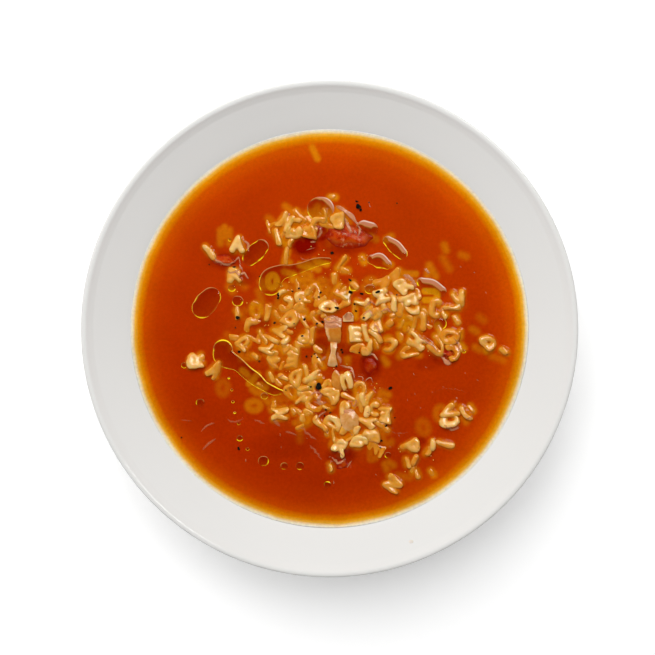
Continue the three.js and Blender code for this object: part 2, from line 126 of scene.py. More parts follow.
# Pads: plan position, plan radii, heap. Letters: which, plan position, degrees turned, lift and any lean.
CLUMPS = {
    "pasta_raft": {
        "pads": [
            (-60, -5, 42, 35, 0), (-30, -64, 34, 40, 0), (-18, 28, 32, 24, 0), (80, 6, 20, 31, 0),
            (14, 4, 38, 32, 1), (64, 33, 28, 24, 1), (24, -88, 40, 44, 1),
        ],
        "letters": [
            ("I", -63, 16, -18, 0.3), ("bit", -88, -19, 60, 0.5), ("D", -40, 9, -55, 0.6),
            ("A", -51, -2, 85, 0.5), ("I", -60, -10, 75, 0.4), ("bit", -45, -13, -60, 0.5),
            ("V", -62, -21, -101, 0.6), ("I", 46, -8, 35, 0.2), ("I", -18, -7, -5, 0.3),
            ("L", -27, -20, -85, 0.6), ("E", -38, -32, 180, 0.6), ("F", -55, -31, 20, 0.1),
            ("bit", -47, 36, -60, 0.4), ("R", -27, 33, 100, 0.5), ("O", -1, 22, 82, 0.8),
            ("T", 33, 25, -115, 0.5), ("E", 26, -6, 0, 0.9), ("I", 36, -4, 12, 1),
            ("bit", 36, 12, -25, 1), ("P", 46, 4, 200, 0.4), ("J", 38, -19, -8, 0.5),
            ("bit", 46, -15, 30, 0.4), ("S", 45, 16, 80, 0.2), ("bit", 60, 5, -35, 0.7),
            ("bit", 72, 5, -20, 0.8), ("M", 53, 33, 120, 1), ("bit", 55, 21, 20, 0.6),
            ("I", 65, 25, -14, 1), ("R", 75, 43, 40, 0.8), ("F", 79, 27, -70, 1), ("C", 83, 22, 70, 0.3),
            ("P", 80, 6, 10, 0.4), ("U", 90, 8, 160, 0.4), ("H", 88, -13, 48, 0.5),
            ("I", -25, -44, 25, 0.5), ("D", -35, -50, 160, 0.5), ("bit", -60, -48, 10, 0.2),
            ("K", -16, -52, -60, 0.6), ("R", -26, -70, -100, 0.7), ("I", -26, -59, 88, 0.4),
            ("M", -51, -86, -80, 0.6), ("S", -23, -89, -35, 0.6), ("I", 14, -54, 13, 1),
            ("I", 20.5, -53, 10, 0.7), ("B", 2, -66, 40, 0.5), ("J", 16, -82, 178, 0.5),
            ("V", 37, -72, -5, 0.4), ("bit", 38, -84, -25, 0.9), ("C", 46, -80, -12, 0.6),
            ("E", 55, -87, 178, 0.9), ("A", 38, -94, 75, 0.7), ("D", 4, -95, 60, 0.6),
            ("I", -9, -96, 45, 0.3), ("B", 41, -107, 95, 0.9), ("G", 29, -114, -60, 0.7),
            ("R", 12, -120, -45, 1), ("U", 19, -105, 120, 0.5), ("bit", 28, -104, 5, 1),
        ],
    },
    "pasta_top": {
        "pads": [(-36, 101, 23, 15, 1), (-8, 108, 12, 10, 0), (8, 109, 9, 10, 1)],
        "letters": [
            ("N", -45, 107, -35, 0.5), ("bit", -33, 108, 85, 0.6), ("E", -36, 98, 90, 0.8),
            ("B", -21, 98, 80, 0.7), ("I", -53, 93, 25, 0.5), ("B", 8, 109, 180, 0.8),
            ("I", -4, 113, 10, 0.4), ("C", -12, 106, -30, 0.4),
        ],
    },
    "pasta_left_west": {"pads": [(-122, 78, 6, 7, 0.4)], "letters": [("I", -122, 78, 38, 0.5)]},
    "pasta_left_north": {"pads": [(-92, 86, 7, 8, 0.4)], "letters": [("A", -92, 85, -5, 0.6)]},
    "pasta_left_south": {"pads": [(-96, 54, 8, 9, 0)], "letters": [("R", -96, 54, 0, 0.1)]},
    "pasta_right": {
        "pads": [(108, 20, 8, 8, 0), (128, 24, 13, 9, 0)],
        "letters": [
            ("C", 107, 20, 0, 0.5), ("V", 131, 30, 10, 0.5), ("I", 124, 21, 88, 0.2),
            ("bit", 116, 16, 40, 0.6),
        ],
    },
    "pasta_right_low": {
        "pads": [(125, -13, 9, 14, 0)],
        "letters": [("O", 122, -8, 88, 0.4), ("bit", 132, -6, -5, 0.3), ("C", 124, -23, 190, 0.4)],
    },
    "pasta_right_side": {"pads": [(109, -20, 7, 8, 0)], "letters": [("U", 109, -20, 35, 0.4)]},
    "pasta_east": {"pads": [(161, -15, 7, 7, 0)], "letters": [("D", 161, -15, 20, 0.4, 25)]},
    "pasta_east_edge": {"pads": [(177, -23, 5, 5, 0)], "letters": [("bit", 177, -23, 60, 0.3)]},
    "pasta_south_east": {
        "pads": [(122, -88, 9, 9, 0), (137, -85, 8, 7, 0)],
        "letters": [("V", 122, -84, -60, 0.2), ("C", 122, -93, 90, 0.5), ("I", 137, -85, 42, 0.4)],
    },
    "pasta_low_right": {
        "pads": [(82, -122, 8, 8, 0), (83, -132, 7, 7, 0)],
        "letters": [("P", 82, -121, -60, 0.4), ("bit", 86, -134, -30, 0.5), ("bit", 78, -135, 10, 0.3)],
    },
    "pasta_low_edge": {
        "pads": [(101, -121, 6, 7, 0)],
        "letters": [("bit", 99, -124, -40, 0.5), ("bit", 104, -117, -10, 0.4)],
    },
    "pasta_low_east": {"pads": [(117, -117, 7, 6, 0)], "letters": [("I", 117, -117, 75, 0.1)]},
    "pasta_low": {"pads": [(64, -157, 7, 8, 0)], "letters": [("N", 64, -157, 60, 0.5)]},
    "pasta_west": {"pads": [(-136, -32, 8, 7, 0)], "letters": [("R", -136, -32, 100, 0.4)]},
    "pasta_west_low": {"pads": [(-116, -41, 7, 8, 0)], "letters": [("A", -116, -41, -30, 0.2)]},
    "pasta_crumb": {"pads": [(1, -140, 4, 5, 0)], "letters": [("bit", 1, -140, 10, 0.2)]},
}

# How much more broth the letters of a clump have taken up.
SOAKED = {
    "pasta_top": 0.3, "pasta_left_south": 0.2, "pasta_right": 0.3, "pasta_right_low": 0.5,
    "pasta_right_side": 0.5, "pasta_east_edge": 0.3, "pasta_low_right": 0.3, "pasta_low_edge": 0.1,
    "pasta_low": 0.15, "pasta_west_low": 0.2, "pasta_south_east": 0.1, "pasta_low_east": 0.15,
}
# Letters that only just break the surface: which, plan position, degrees turned, mm that they stand out.
HALF_SUNK = [
    ("I", -44, 73, -15, 0.15), ("bit", -93, 16, 30, 0.3), ("O", -74, 19, 5, 0.3),
    ("O", -87, -14, -40, 0.25), ("P", -27, -8, 180, 0.35), ("S", -29, 19, 20, 0.4),
    ("U", -15, 39, 172, 0.35), ("bit", 66, 13, -60, 0.3), ("A", 67, 53, -30, 0.3),
    ("bit", 82, -3, -20, 0.45), ("bit", -46, -50, 50, 0.4), ("O", -38, -63, 15, 0.2),
    ("bit", -37, -83, 25, 0.4), ("bit", -76, -28, 70, 0.3), ("I", -30, 114, 38, 0.35),
    ("O", -45, 92, 20, 0.15), ("bit", -39, 87, -40, 0.4), ("bit", 5, 51, 5, 0.3),
    ("I", 12, 66, -38, 0.5), ("bit", 16, 59, 90, 0.3), ("bit", 34, 70, 20, 0.1),
    ("bit", -32, 44, 10, 0.3), ("I", 26, 18, 0, 0.3), ("C", 60, -16, 180, 0.3),
    ("bit", -56, -76, 10, 0.2), ("bit", -71, -59, 60, 0.3), ("bit", -52, -53, 40, 0.2),
    ("bit", 56, -101, 60, 0.4), ("J", 109, -3, 20, 0.2), ("bit", 129, 9, 15, 0.35),
    ("bit", 134, -18, 40, 0.4), ("bit", 3, 133, 90, 0.1), ("bit", 144, -81, 30, 0.15),
    ("bit", 84, -143, 0, 0.3), ("bit", 89, -147, 20, 0.35), ("bit", 104, -146, 40, 0.4),
    ("I", -52, 12, 40, 0.3), ("bit", -10, -20, 60, 0.4), ("C", -44, 24, 150, 0.3),
    ("A", -12, -33, 10, 0.25), ("L", -46, -16, 30, 0.3), ("I", -40, -20, 70, 0.4),
    ("T", -14, 8, 30, 0.3), ("I", -68, -8, 20, 0.3), ("E", 13, 38, 60, 0.3), ("bit", 25, 44, 30, 0.4),
    ("I", 22, -70, 60, 0.4), ("O", 30, -62, 20, 0.4), ("bit", -3, -80, 70, 0.3), ("I", 50, -95, 40, 0.4),
    ("C", 8, -108, 30, 0.5), ("bit", -2, -104, 10, 0.3), ("V", 70, 20, 30, 0.4),
    ("bit", 97, 18, 40, 0.3), ("bit", 71, -8, 10, 0.25), ("I", -1, 104, 60, 0.3),
]
FILLERS = 26  # more such letters where the heap has none
FILLER_NAMES = ["I", "bit", "C", "A", "L", "T", "O", "V", "J", "S", "E", "U"]

# Sunk letters, seen through the broth: which, plan position, degrees turned, how clear, mm of blur.
SUNK = [
    ("O", -58, 48, 0, 0.95, 0.45), ("bit", -37, 52, 0, 0.8, 1.2), ("bit", -32, 50, 60, 0.7, 1.2),
    ("bit", -43, 68, 60, 0.6, 1.2), ("I", -9, 67, 75, 0.8, 0.9), ("I", -17, 63, 60, 0.7, 0.9),
    ("bit", 18, -33, 0, 0.7, 1.6), ("bit", 56, -33, 40, 0.6, 1.6), ("U", 102.5, 33.4, 90, 0.95, 0.45),
    ("A", 102, 58, 10, 0.5, 1.5), ("O", -76.5, -78, 90, 0.62, 1.2), ("O", -108, -60, 0, 0.32, 1.5),
    ("H", -106, 93, 0, 0.5, 1.5), ("I", -15, 178, 25, 0.6, 1.0), ("bit", 137, -92, 30, 0.5, 1.4),
    ("bit", 62, -137, 60, 0.5, 1.4), ("bit", 117, 82, 20, 0.45, 1.6), ("bit", 136, 74, 70, 0.35, 1.6),
    ("bit", -68, 45, 30, 0.5, 1.5), ("bit", -30, -110, 0, 0.35, 1.6), ("bit", 57, -140, 20, 0.5, 1.4),
    ("I", 75, -150, 80, 0.4, 1.4), ("O", 95, -100, 20, 0.3, 1.8), ("bit", 150, -20, 60, 0.4, 1.5),
    ("bit", 147, -2, 60, 0.4, 1.5), ("I", 118, 66, 30, 0.3, 1.8), ("bit", 60, 66, 60, 0.6, 1.0),
    ("bit", 44, 92, 60, 0.7, 1.2), ("bit", 60, 92, 120, 0.6, 1.4), ("I", -70, 32, 20, 0.4, 1.6),
    ("bit", 0, 88, 0, 0.3, 1.8), ("I", -40, 120, 50, 0.5, 1.4), ("bit", -60, 110, 50, 0.4, 1.6),
    ("bit", -106, 100, 10, 0.5, 1.0), ("bit", -100, 40, 40, 0.5, 1.8), ("bit", -88, 45, 40, 0.4, 2.0),
    ("I", -66, -70, 40, 0.6, 1.2), ("bit", -80, -52, 20, 0.5, 1.2), ("bit", -76, -63, 50, 0.6, 1.2),
    ("bit", 154, 10, 50, 0.25, 1.8), ("I", 170, -30, 70, 0.3, 1.4), ("C", 112, -86, 0, 0.4, 1.4),
    ("bit", -86, -44, 50, 0.8, 0.8), ("I", -77, -51, -42, 0.85, 0.7), ("bit", -67, -58, 70, 0.8, 0.8),
    ("I", -24, 63, 75, 0.85, 0.7), ("bit", -10, 67, 80, 0.8, 0.7), ("bit", -43, 57, 70, 0.6, 0.9),
]
UNDERLAYER = 120  # blurred letters under the heap

TOMATOES = {  # plan position, plan radii, degrees turned, mm over the soup, mm under it
    "tomato_top": (16, 94.5, 26, 13, -8, 1.95, 2.4),
    "tomato_left": (-107, 69, 13, 5.5, -8, 1.6, 1.8),
    "tomato_centre": (41, -38, 8.5, 12.5, 8, 1.05, 2.2),
    "tomato_right": (119, -25, 7, 4, -25, 1.6, 1.8),
    "tomato_low": (13, -137, 9, 6, 24, 1.2, 1.8),
}
TOMATO_FOLDS = (0.05, 0.05)  # how far its broad folds swell it, along and across
# Onion: plan position, length, widths of its ends, waist, degrees turned, mm that its crown stands over the
# soup, how pale it is, how much of its length from the top is pink and creased, how round its corners are.
ONIONS = {
    "onion_heart": (4, -2, 29, 20, 12.5, 0.0, 4, 3.0, 0.3, 0.4, 0.14),
    "onion_stem": (3.5, -25.5, 27, 7.5, 11, 0.42, -4, 2.8, 0.75, 0.0, 0.12),
    "onion_petal": (7.5, -54, 25, 9, 10, -0.2, 8, 2.6, 0.4, 0.05, 0.5),
    "onion_low": (20, -92, 23, 17, 19, -0.1, 14, 3.4, 0.6, 0.2, 0.45),
    "onion_small": (19, 12, 10, 9, 12, -0.1, 0, 2.9, 0.7, 1.0, 0.42),
}
ONION_CURVE = 16  # mm, radius of the bulb that the layers were cut from

# Drops of oil: the arcs where a gold line of gathered light is painted along their edge and the middle of the
# arc where a pale reflection is painted on their edge, in degrees from +X towards +Y, mm of that painted pale
# edge, how domed they are, and the plan positions and radii that they run through.
OIL_DROPS = [
    ([(135, 185), (285, 330)], 50, 0.8, 0.14, [(-81, 71, 7.5), (-75, 77, 9), (-69, 83, 7.5)]),
    ([(150, 300), (335, 380)], 115, 0.5, 0.14, [(-129, 21, 10.5), (-125, 26, 11.5), (-120, 32, 10)]),
    ([(190, 345)], 60, 0.5, 0.2, [(-93, 28, 5.2)]), ([(200, 340)], 90, 0.0, 0.2, [(-99, 41, 3.6)]),
    ([(190, 255), (30, 130)], 50, 0.65, 0.14, [(-108, -21, 10), (-106, -29, 10.5), (-93, -36, 7),
        (-84, -44, 6.5), (-75, -51, 6.8), (-66, -58, 5), (-56, -63, 4.5), (-49, -64, 2.5)]),
    ([(165, 205), (250, 325)], 125, 0.6, 0.13, [(-60, 45, 11.5), (-58, 51, 11.5), (-49, 57, 8),
        (-39, 59, 6), (-27, 62.5, 5), (-13, 67.5, 4.5), (-1, 69, 3)]),
    ([(205, 260), (-20, 30)], 55, 2.9, 0.2, [(59, 89, 5), (66, 83, 7), (73, 76, 6)]),
    ([(215, 290)], 60, 2.8, 0.2, [(43, 70, 5), (50, 69, 8), (58, 65, 5)]),
    ([(190, 225)], 65, 3.4, 0.2, [(93, 47, 5), (103, 43, 7.5), (113, 38, 5.5)]),
    ([(200, 235)], 85, 3.6, 0.2, [(35, 102, 8), (42, 101, 7)]),
    ([(205, 265)], 45, 3.0, 0.14, [(-9, 121, 12.5)]), ([(180, 350)], 80, 0.6, 0.2, [(24, 42, 4)]),
    ([(200, 330)], 90, 0.8, 0.2, [(41, 40, 5)]), ([(150, 200)], 60, 0.0, 0.1, [(-131, -75, 4)]),
    ([(200, 300)], 60, 0.0, 0.1, [(-147, -37, 3)]), ([(-100, 20)], 90, 0.4, 0.1, [(-67, -134, 5)]),
    ([(240, 280)], 90, 0.0, 0.06, [(-46, -139, 3.6)]), ([(240, 280)], 90, 0.0, 0.06, [(-30, -139, 3.8)]),
    ([(-60, 40)], 60, 0.5, 0.15, [(112, 5, 6)]), ([(180, 360)], 90, 0.0, 0.2, [(128, -23, 2)]),
    ([(180, 360)], 90, 0.0, 0.2, [(136, -23, 2)]), ([(200, 340)], 90, 0.0, 0.2, [(-66, -68, 3.4)]),
    ([(180, 360)], 90, 0.0, 0.2, [(-102, -50, 1.2)]), ([(180, 360)], 90, 0.0, 0.2, [(-99, -62, 1.3)]),
    ([(180, 360)], 90, 0.0, 0.2, [(-98, -74, 1.5)]), ([(180, 360)], 90, 0.0, 0.2, [(-96, -85, 1.3)]),
    ([(180, 360)], 90, 0.0, 0.2, [(-92, -96, 1.6)]), ([(210, 330)], 90, 0.0, 0.1, [(-91, -111, 3)]),
    ([(180, 360)], 90, 0.0, 0.2, [(-83, -122, 1.6)]), ([(200, 270)], 90, 0.3, 0.08, [(59, -128, 3)]),
    ([(0, 60)], 90, 0.0, 0.3, [(124, -1, 2)]), ([(200, 330)], 90, 0.0, 0.2, [(-24, -16, 2)]),
    ([(160, 300)], 90, 0.0, 0.2, [(-101, 90, 1.6)]), ([(60, 160)], 90, 0.0, 0.1, [(-2, -158, 3.4)]),
]

# Pepper: plan position, length and width in plan steps, degrees turned.
PEPPER = [
    (-52, 33.5, 6, 2.5, 80), (-92.5, 11.5, 5, 3, 25), (-31, 41, 2, 2, 0), (-37.5, 37.5, 2, 1.6, 0),
    (-9, 36.5, 2, 2, 0), (-11, 32, 2, 1.6, 30), (-25.5, 9.5, 2.6, 2.4, 0), (-12.5, 5, 2.6, 2.2, 0),
    (-27.5, -7.5, 2.4, 2, 0), (-55.5, 6, 2.4, 2.4, 0), (-95, 1, 2.4, 1.8, 0), (-91.5, -23, 3, 3.4, 0),
    (20, 50, 4.4, 2, -40), (22, 37, 4.6, 3.4, 0), (32, 35.5, 4, 3, 0), (49, 37, 5, 3, 25),
    (7, 21, 5, 2.6, 10), (25, 25, 2.2, 2, 0), (27, 18, 2.2, 2, 0), (34.5, 11, 3, 2.2, 40),
    (-10.5, -58, 6, 7, 0), (12, -21, 3, 2.4, 0), (13, -24, 2.6, 2.4, 0), (7, -38, 2.2, 1.8, 0),
    (-23, -28, 2.6, 2, 0), (-18, -28, 1.6, 1.6, 0), (-15, -25.5, 2.4, 1.6, 20), (-11, -29, 4.4, 2, -15),
    (-19, -59, 2, 2, 0), (52.5, -113, 3, 2.6, 0), (51.5, -120, 2, 1.6, 0), (61.5, -60, 3.6, 3, 30),
    (57, -98, 3, 2, 30), (66, -90, 1.6, 1.6, 0), (29, 124, 4.6, 5.4, 30), (31, 120, 3, 2.6, 0),
    (28, 129, 3.4, 2, 0), (68, 127, 2, 2, 0), (-3.5, -82, 2, 2, 0), (0.5, -85, 2, 1.6, 0),
    (-5, -88, 1.8, 1.8, 0), (-71, -33, 2, 2, 0), (68, 34.5, 1.6, 1.6, 0), (-96.5, 62, 3, 2, 0),
    (3, 77, 4, 2.6, 0), (-92, -121, 2.4, 3.6, 0), (-7, 7, 3, 2.4, 0), (-122, 65, 1.6, 1.4, 0),
    (-71, 53, 1.6, 1.4, 0), (-30, 30, 1.6, 1.6, 0), (40, 128, 1.4, 1.4, 0), (-150, -110, 2, 1.6, 0),
    (0, 20, 1.8, 1.4, 0), (-36, 5, 1.4, 1.4, 0), (30, -24, 2, 2, 0), (-44, -62, 1.6, 1.4, 0),
]

# Films of oil and tomato skin that lie over the rest and mirror the light, their pink partly real skin and
# partly
# painted reflection of the light on oil: how much they hide, the plan positions that they run through, and
# their radius in steps.
SKIN_AND_SHEEN_FILMS = [
    (0.7, [(-8, -66), (-11, -71), (-9, -76)], 2.0), (0.5, [(-20, -68), (-14, -64), (-8, -66)], 1.4),
    (0.5, [(-16, -74), (-10, -76), (-4, -75)], 1.5),
    (0.8, [(11, -37), (16, -38.5), (21, -40.5), (24.5, -46), (25, -50)], 1.3),
    (0.55, [(7.5, -25), (9.5, -30), (11, -34.5)], 2.2),
    (0.5, [(22, -74), (25, -78), (27, -72), (29, -76)], 1.0),
    (0.9, [(38.5, -27.5), (43, -26), (47, -28.5), (48.5, -32)], 1.1),
    (0.7, [(29, -48), (33, -49), (34, -53)], 0.9), (0.7, [(36, -53), (40, -50), (45, -54)], 0.8),
    (0.5, [(-4, -28), (-8, -32)], 1.6), (0.8, [(-5, 9), (1, 7), (8, 9)], 1.2),
    (0.7, [(-4, 4), (3, 2), (11, 3)], 1.1), (0.6, [(-3, 12), (6, 12), (10, 6)], 1.3),
    (0.5, [(34, 14), (40, 18), (44, 13)], 1.4), (0.6, [(45, 5), (49, 0), (52, -8)], 1.3),
    (0.6, [(52, 17), (58, 20), (62, 16)], 1.4), (0.5, [(36, 22), (41, 27), (46, 24)], 1.5),
    (0.55, [(90, -6), (96, -12), (103, -16), (110, -24)], 1.5),
    (0.8, [(114, -28), (118, -33), (122, -36)], 2.3), (0.6, [(96, -8), (103, -13), (106, -19)], 1.0),
    (0.5, [(126, -10), (131, -17), (130, -24)], 1.2), (0.6, [(75, 54), (82, 51), (87, 43)], 2.4),
    (0.5, [(96, 60), (101, 57)], 1.8), (0.4, [(106, 22), (112, 18), (118, 24)], 1.2),
    (0.7, [(-118, 76), (-113, 68), (-104, 65), (-97, 67)], 1.6),
    (0.6, [(-97, 67), (-92, 72), (-90, 66)], 1.2), (0.6, [(-88, 90), (-83, 86), (-82, 78)], 1.5),
    (0.7, [(-104, 58), (-97, 57), (-91, 60)], 1.1),
    (0.8, [(-95, 59), (-91, 55), (-86, 56), (-82, 51)], 1.4), (0.6, [(-92, 64), (-88, 60)], 1.2),
    (0.8, [(8, 124), (15, 119), (23, 113), (29, 105)], 2.3), (0.6, [(29, 105), (31, 99), (28, 93)], 1.4),
    (0.6, [(16, 111), (19, 103), (22, 97)], 2.6), (0.5, [(-9, 102), (-9, 97), (-12, 92)], 1.7),
    (0.6, [(-19, 88), (-15, 87)], 1.2), (0.5, [(12, 94), (15, 96), (18, 94)], 0.9),
    (0.5, [(24, 99), (27, 95)], 1.0), (0.5, [(-24, 79), (-19, 81), (-15, 82)], 0.8),
    (0.5, [(13, 84), (18, 86)], 0.7), (0.5, [(-14, -92), (-9, -87), (-4, -84)], 1.2),
    (0.35, [(104, -66), (116, -61), (132, -62), (142, -66)], 0.7),
    (0.6, [(116, -98), (124, -102), (131, -100)], 2.0), (0.4, [(138, -92), (145, -88)], 1.3),
    (0.7, [(3, -130), (9, -136), (16, -131)], 1.5), (0.6, [(8, -124), (14, -128)], 1.1),
    (0.5, [(18, -140), (22, -134)], 1.2), (0.45, [(-52, -50), (-47, -47)], 1.0),
    (0.35, [(-130, -104), (-124, -98), (-117, -96)], 1.2),
    (0.3, [(-128, -122), (-122, -116), (-116, -112)], 1.5),
    (0.3, [(-104, -92), (-97, -94), (-88, -92)], 1.0),
    (0.3, [(-28, -100), (-20, -108), (-14, -112)], 1.6),
    (0.3, [(-20, -118), (-14, -124), (-8, -132)], 1.2), (0.3, [(-44, -104), (-34, -108)], 1.3),
    (0.3, [(-76, -92), (-66, -96)], 1.2), (0.35, [(-150, -92), (-140, -94)], 0.8),
    (0.3, [(-58, -92), (-50, -98)], 1.4), (0.4, [(38, 128), (42, 123)], 0.7),
    (0.4, [(-30, 75), (-28, 71), (-22, 70), (-17, 76)], 0.6),
    (0.3, [(60, -103), (70, -106), (80, -105)], 0.8),
]
# the short ones are only pink marks of painted reflection of the light on oily films
SHEEN_DASHES = 34  # and so many short ones, drawn at random, in the open broth on the right and below

# Where sunk tomato darkens the broth: plan position, plan radii and how much.
STAINS = [
    (-25, 84, 16, 11, 1.0), (-9, 96, 10, 11, 0.8), (14, 88, 32, 15, 0.5), (40, 93, 12, 12, 0.4),
    (41, -38, 14, 17, 0.8), (24, -44, 20, 16, 0.3), (-106, 68, 19, 10, 0.6), (-88, 52, 14, 10, 0.4),
    (12, -128, 18, 12, 0.6), (115, -27, 18, 12, 0.55), (14, -66, 12, 8, 0.6), (98, -36, 14, 8, 0.3),
    (-70, 6, 12, 8, 0.4), (-8, -86, 12, 7, 0.4), (92, -114, 7, 5, 0.5), (14, -21, 17, 8, 0.5),
    (-8, -17, 10, 11, 0.5), (-9, 4, 6, 13, 0.4), (-44, -118, 40, 16, 0.2),
]
# Crumbs of pasta between the letters: plan position and radii of a field, and how many lie in it.
CRUMB_FIELDS = [
    (-44, 38, 16, 10, 16), (4, 46, 45, 14, 30), (-62, 2, 28, 22, 18), (-14, -42, 40, 14, 16),
    (28, -66, 30, 16, 8), (84, -132, 22, 14, 8), (24, 66, 26, 12, 8), (118, -20, 20, 20, 6),
    (0, 84, 30, 10, 7), (-96, 26, 26, 20, 5),
]
SPLASH = (82, -214, 2.6, 1.7)  # a drop on the wall: plan position and plan radii

BALL_SPACING = 0.45  # mm between the balls that a stroke is melted from
LETTER_VOXEL = 0.42  # mm between the points of a melted letter
BROTH_CELLS = 290  # squares along each side of the broth's grid
LONE_FILM = 0.15, 9  # mm that the film rises over a lone letter, and mm that it slopes off over
FILM_BLEND = 6  # how far the highest of several swells of the film outdoes the rest
CLIMB_WIDTH = 1.1  # mm over which the broth climbs the wall


def linear(code):
    """An sRGB hex colour as linear red, green, blue and alpha."""
    parts = [int(code[i : i + 2], 16) / 255 for i in (1, 3, 5)]
    return (*(c / 12.92 if c <= 0.04045 else ((c + 0.055) / 1.055) ** 2.4 for c in parts), 1.0)


def hue(name, code, about):
    """A colour property whose default is an sRGB hex colour."""
    return FloatVectorProperty(
        name=name, description=about, subtype="COLOR", size=3, min=0, max=1, default=linear(code)[:3]
    )


def size(name, value, about, low=0.0, high=1000.0):
    """A length property in millimetres."""
    return FloatProperty(name=name, description=about + ", in mm", default=value, min=low, max=high)


def power(name, value, about):
    """The power of a soft box."""
    return FloatProperty(name=name, description="Power of the " + about, default=value, min=0, unit="POWER")


class SoupSettings(bpy.types.PropertyGroup):
    glaze: hue("Glaze", "#E9E8E5", "Porcelain under a clear glaze")
    shore: hue("Shore", "#ECE4D8", "Thinnest film of broth, over white porcelain")
    cream: hue("Cream", "#F3DDB8", "Broth a millimetre from its shore")
    gold: hue("Gold", "#E8AC36", "Broth two millimetres from its shore")
    amber: hue("Amber", "#DC8400", "Broth four millimetres from its shore")
    orange: hue("Orange", "#C84C00", "Broth seven millimetres from its shore")
    rust: hue("Rust", "#BA3900", "Broth twelve millimetres from its shore")
    deep: hue("Deep broth", "#B03000", "Broth where nothing shows through it")
    glow: hue("Sunk pasta", "#D48208", "Pasta just under the broth")
    stain: hue("Tomato stain", "#7E0800", "Broth over sunk tomato")
    meniscus: size("Meniscus", 0.4, "How far the broth climbs the wall", high=2)
    climb: size("Climb", 0.42, "How far the broth climbs the pasta", high=2)
    cling: size("Cling", 0.85, "How high the broth stands over sunk pasta", high=2)
    fade: size("Fade", 24.0, "How wide the broth slopes off a heap", low=0.5, high=40)


class PastaSettings(bpy.types.PropertyGroup):
    height: size("Height", 8.2, "Height of a cooked letter", low=4, high=12)
    width: size("Width", 6.4, "Width of a cooked letter", low=3, high=10)
    stroke: size("Stroke", 2.3, "Width of a stroke", low=1, high=4)
    swell: size("Swell", 0.75, "How much wider the cooked strokes have swollen", high=1)
    thickness: size("Thickness", 1.9, "Thickness of a letter", low=1, high=4)
    wobble: size("Wobble", 0.45, "How far a letter strays from its template", high=2)
    tilt: FloatProperty(
        name="Tilt", description="How far a letter tips, in degrees", default=7, min=0, max=45
    )
    sink: size("Sink", 0.45, "How much lower a lone letter floats", high=2)
    settle: size("Settle", 0.25, "How much lower a letter in a heap lies", high=2)
    bare: hue("Bare pasta", "#EFC072", "Pasta that stands out of the broth")
    damp: hue("Damp pasta", "#E09A34", "Pasta with a thin film of broth")
    wet: hue("Wet pasta", "#D67E0E", "Pasta at the waterline")
    reach: size("Reach", 1.6, "How far over the broth pasta is bare", low=0.2, high=5)
    seed: IntProperty(name="Seed", description="Draw of the letters that fill the heap", default=7, min=0)


class ToppingSettings(bpy.types.PropertyGroup):
    tomato: hue("Tomato", "#BC3402", "Stewed tomato flesh")
    tomato_dark: hue("Tomato heart", "#880C00", "Tomato where it is thick")
    tomato_light: hue("Tomato edge", "#C25A12", "Tomato under a film of broth")
    tomato_drowned: hue("Drowned tomato", "#8E1400", "Tomato that sinks into the broth")
    # the pink of skin bits and films, which partly serves as painted highlight and reflection
    tomato_skin_and_sheen: hue("Tomato skin", "#DA9266", "Scraps and films of wet skin")
    onion: hue("Onion", "#C06C10", "Stewed onion soaked with broth")
    onion_middle: hue("Onion middle", "#CC8430", "Onion just out of the broth")
    onion_light: hue("Onion edge", "#E4B278", "Onion that stands out of the broth")
    onion_pink: hue("Onion skin", "#CA8A5E", "Creased pink skin of an onion's layer")
    oil: hue("Oil", "#F8FFF0", "Olive oil over broth")
    # painted shade: the oil colour at a drop's top side, darker, so that the broth under it looks dimmed
    oil_painted_shade: hue("Oil shade", "#E6CEC0", "Oil at the side where it dims the broth")
    # painted reflection: the next three colours paint light mirrored on a drop's pale edge, from its faint
    # border line to its lightest line
    oil_painted_rim: hue("Oil rim", "#DE923C", "Thin edge of a drop away from the light")
    oil_painted_veil: hue("Oil veil", "#C67850", "Pale edge of a drop, where its skin turns down")
    oil_painted_shine: hue("Oil shine", "#FBE4D2", "Brightest line of that edge")
    # painted light: the next two settings make a line of gathered light at a drop's edge, which also glows a
    # little
    oil_painted_caustic: hue("Oil edge", "#FFE010", "Light gathered at the edge of a drop")
    oil_line: size("Oil line", 0.6, "Width of the light gathered at the edge of a drop", high=3)
    pepper: hue("Pepper", "#0A0704", "Ground black pepper")
    pepper_light: hue("Pepper heart", "#6B5A3A", "Pale inside of a broken peppercorn")
    onion_thickness: size("Onion layer", 1.4, "Thickness of a layer of onion", low=0.5, high=4)


class StageSettings(bpy.types.PropertyGroup):
    floor: hue("Floor", "#F8F8F8", "Matt white card")
    key_power: power("Key", 20.9, "key soft box")
    side_power: power("Side", 2, "side soft box")
    glint_power: power("Glint", 15, "soft box that only the wet food mirrors")
    sky: FloatProperty(
        name="Sky", description="Brightness of the tent round the table", default=0.26, min=0
    )
    lens: FloatProperty(name="Lens", description="Focal length", default=0.1, unit="LENGTH", min=0.02)
    camera_height: FloatProperty(
        name="Camera height", description="Camera over the table", default=0.882, unit="LENGTH", min=0.2
    )


# ---- small tools ----
def turned(x, y, degrees):
    """A plan place turned about the origin."""
    c, s = math.cos(math.radians(degrees)), math.sin(math.radians(degrees))
    return x * c - y * s, x * s + y * c


def share_out(x, y, row):
    """How far places in mm lie from a row's middle, where 1 is the edge that its plan radii give."""
    return np.hypot((x / STEP - row[0]) / row[2], (y / STEP - row[1]) / row[3])


def is_lone(clump):
    """Whether so few letters lie in a clump that it has no heap."""
    return len(clump["letters"]) < 5


def only(piece):
    """Selects one object and nothing else."""
    bpy.ops.object.select_all(action="DESELECT")
    piece.select_set(True)
    bpy.context.view_layer.objects.active = piece
    return piece


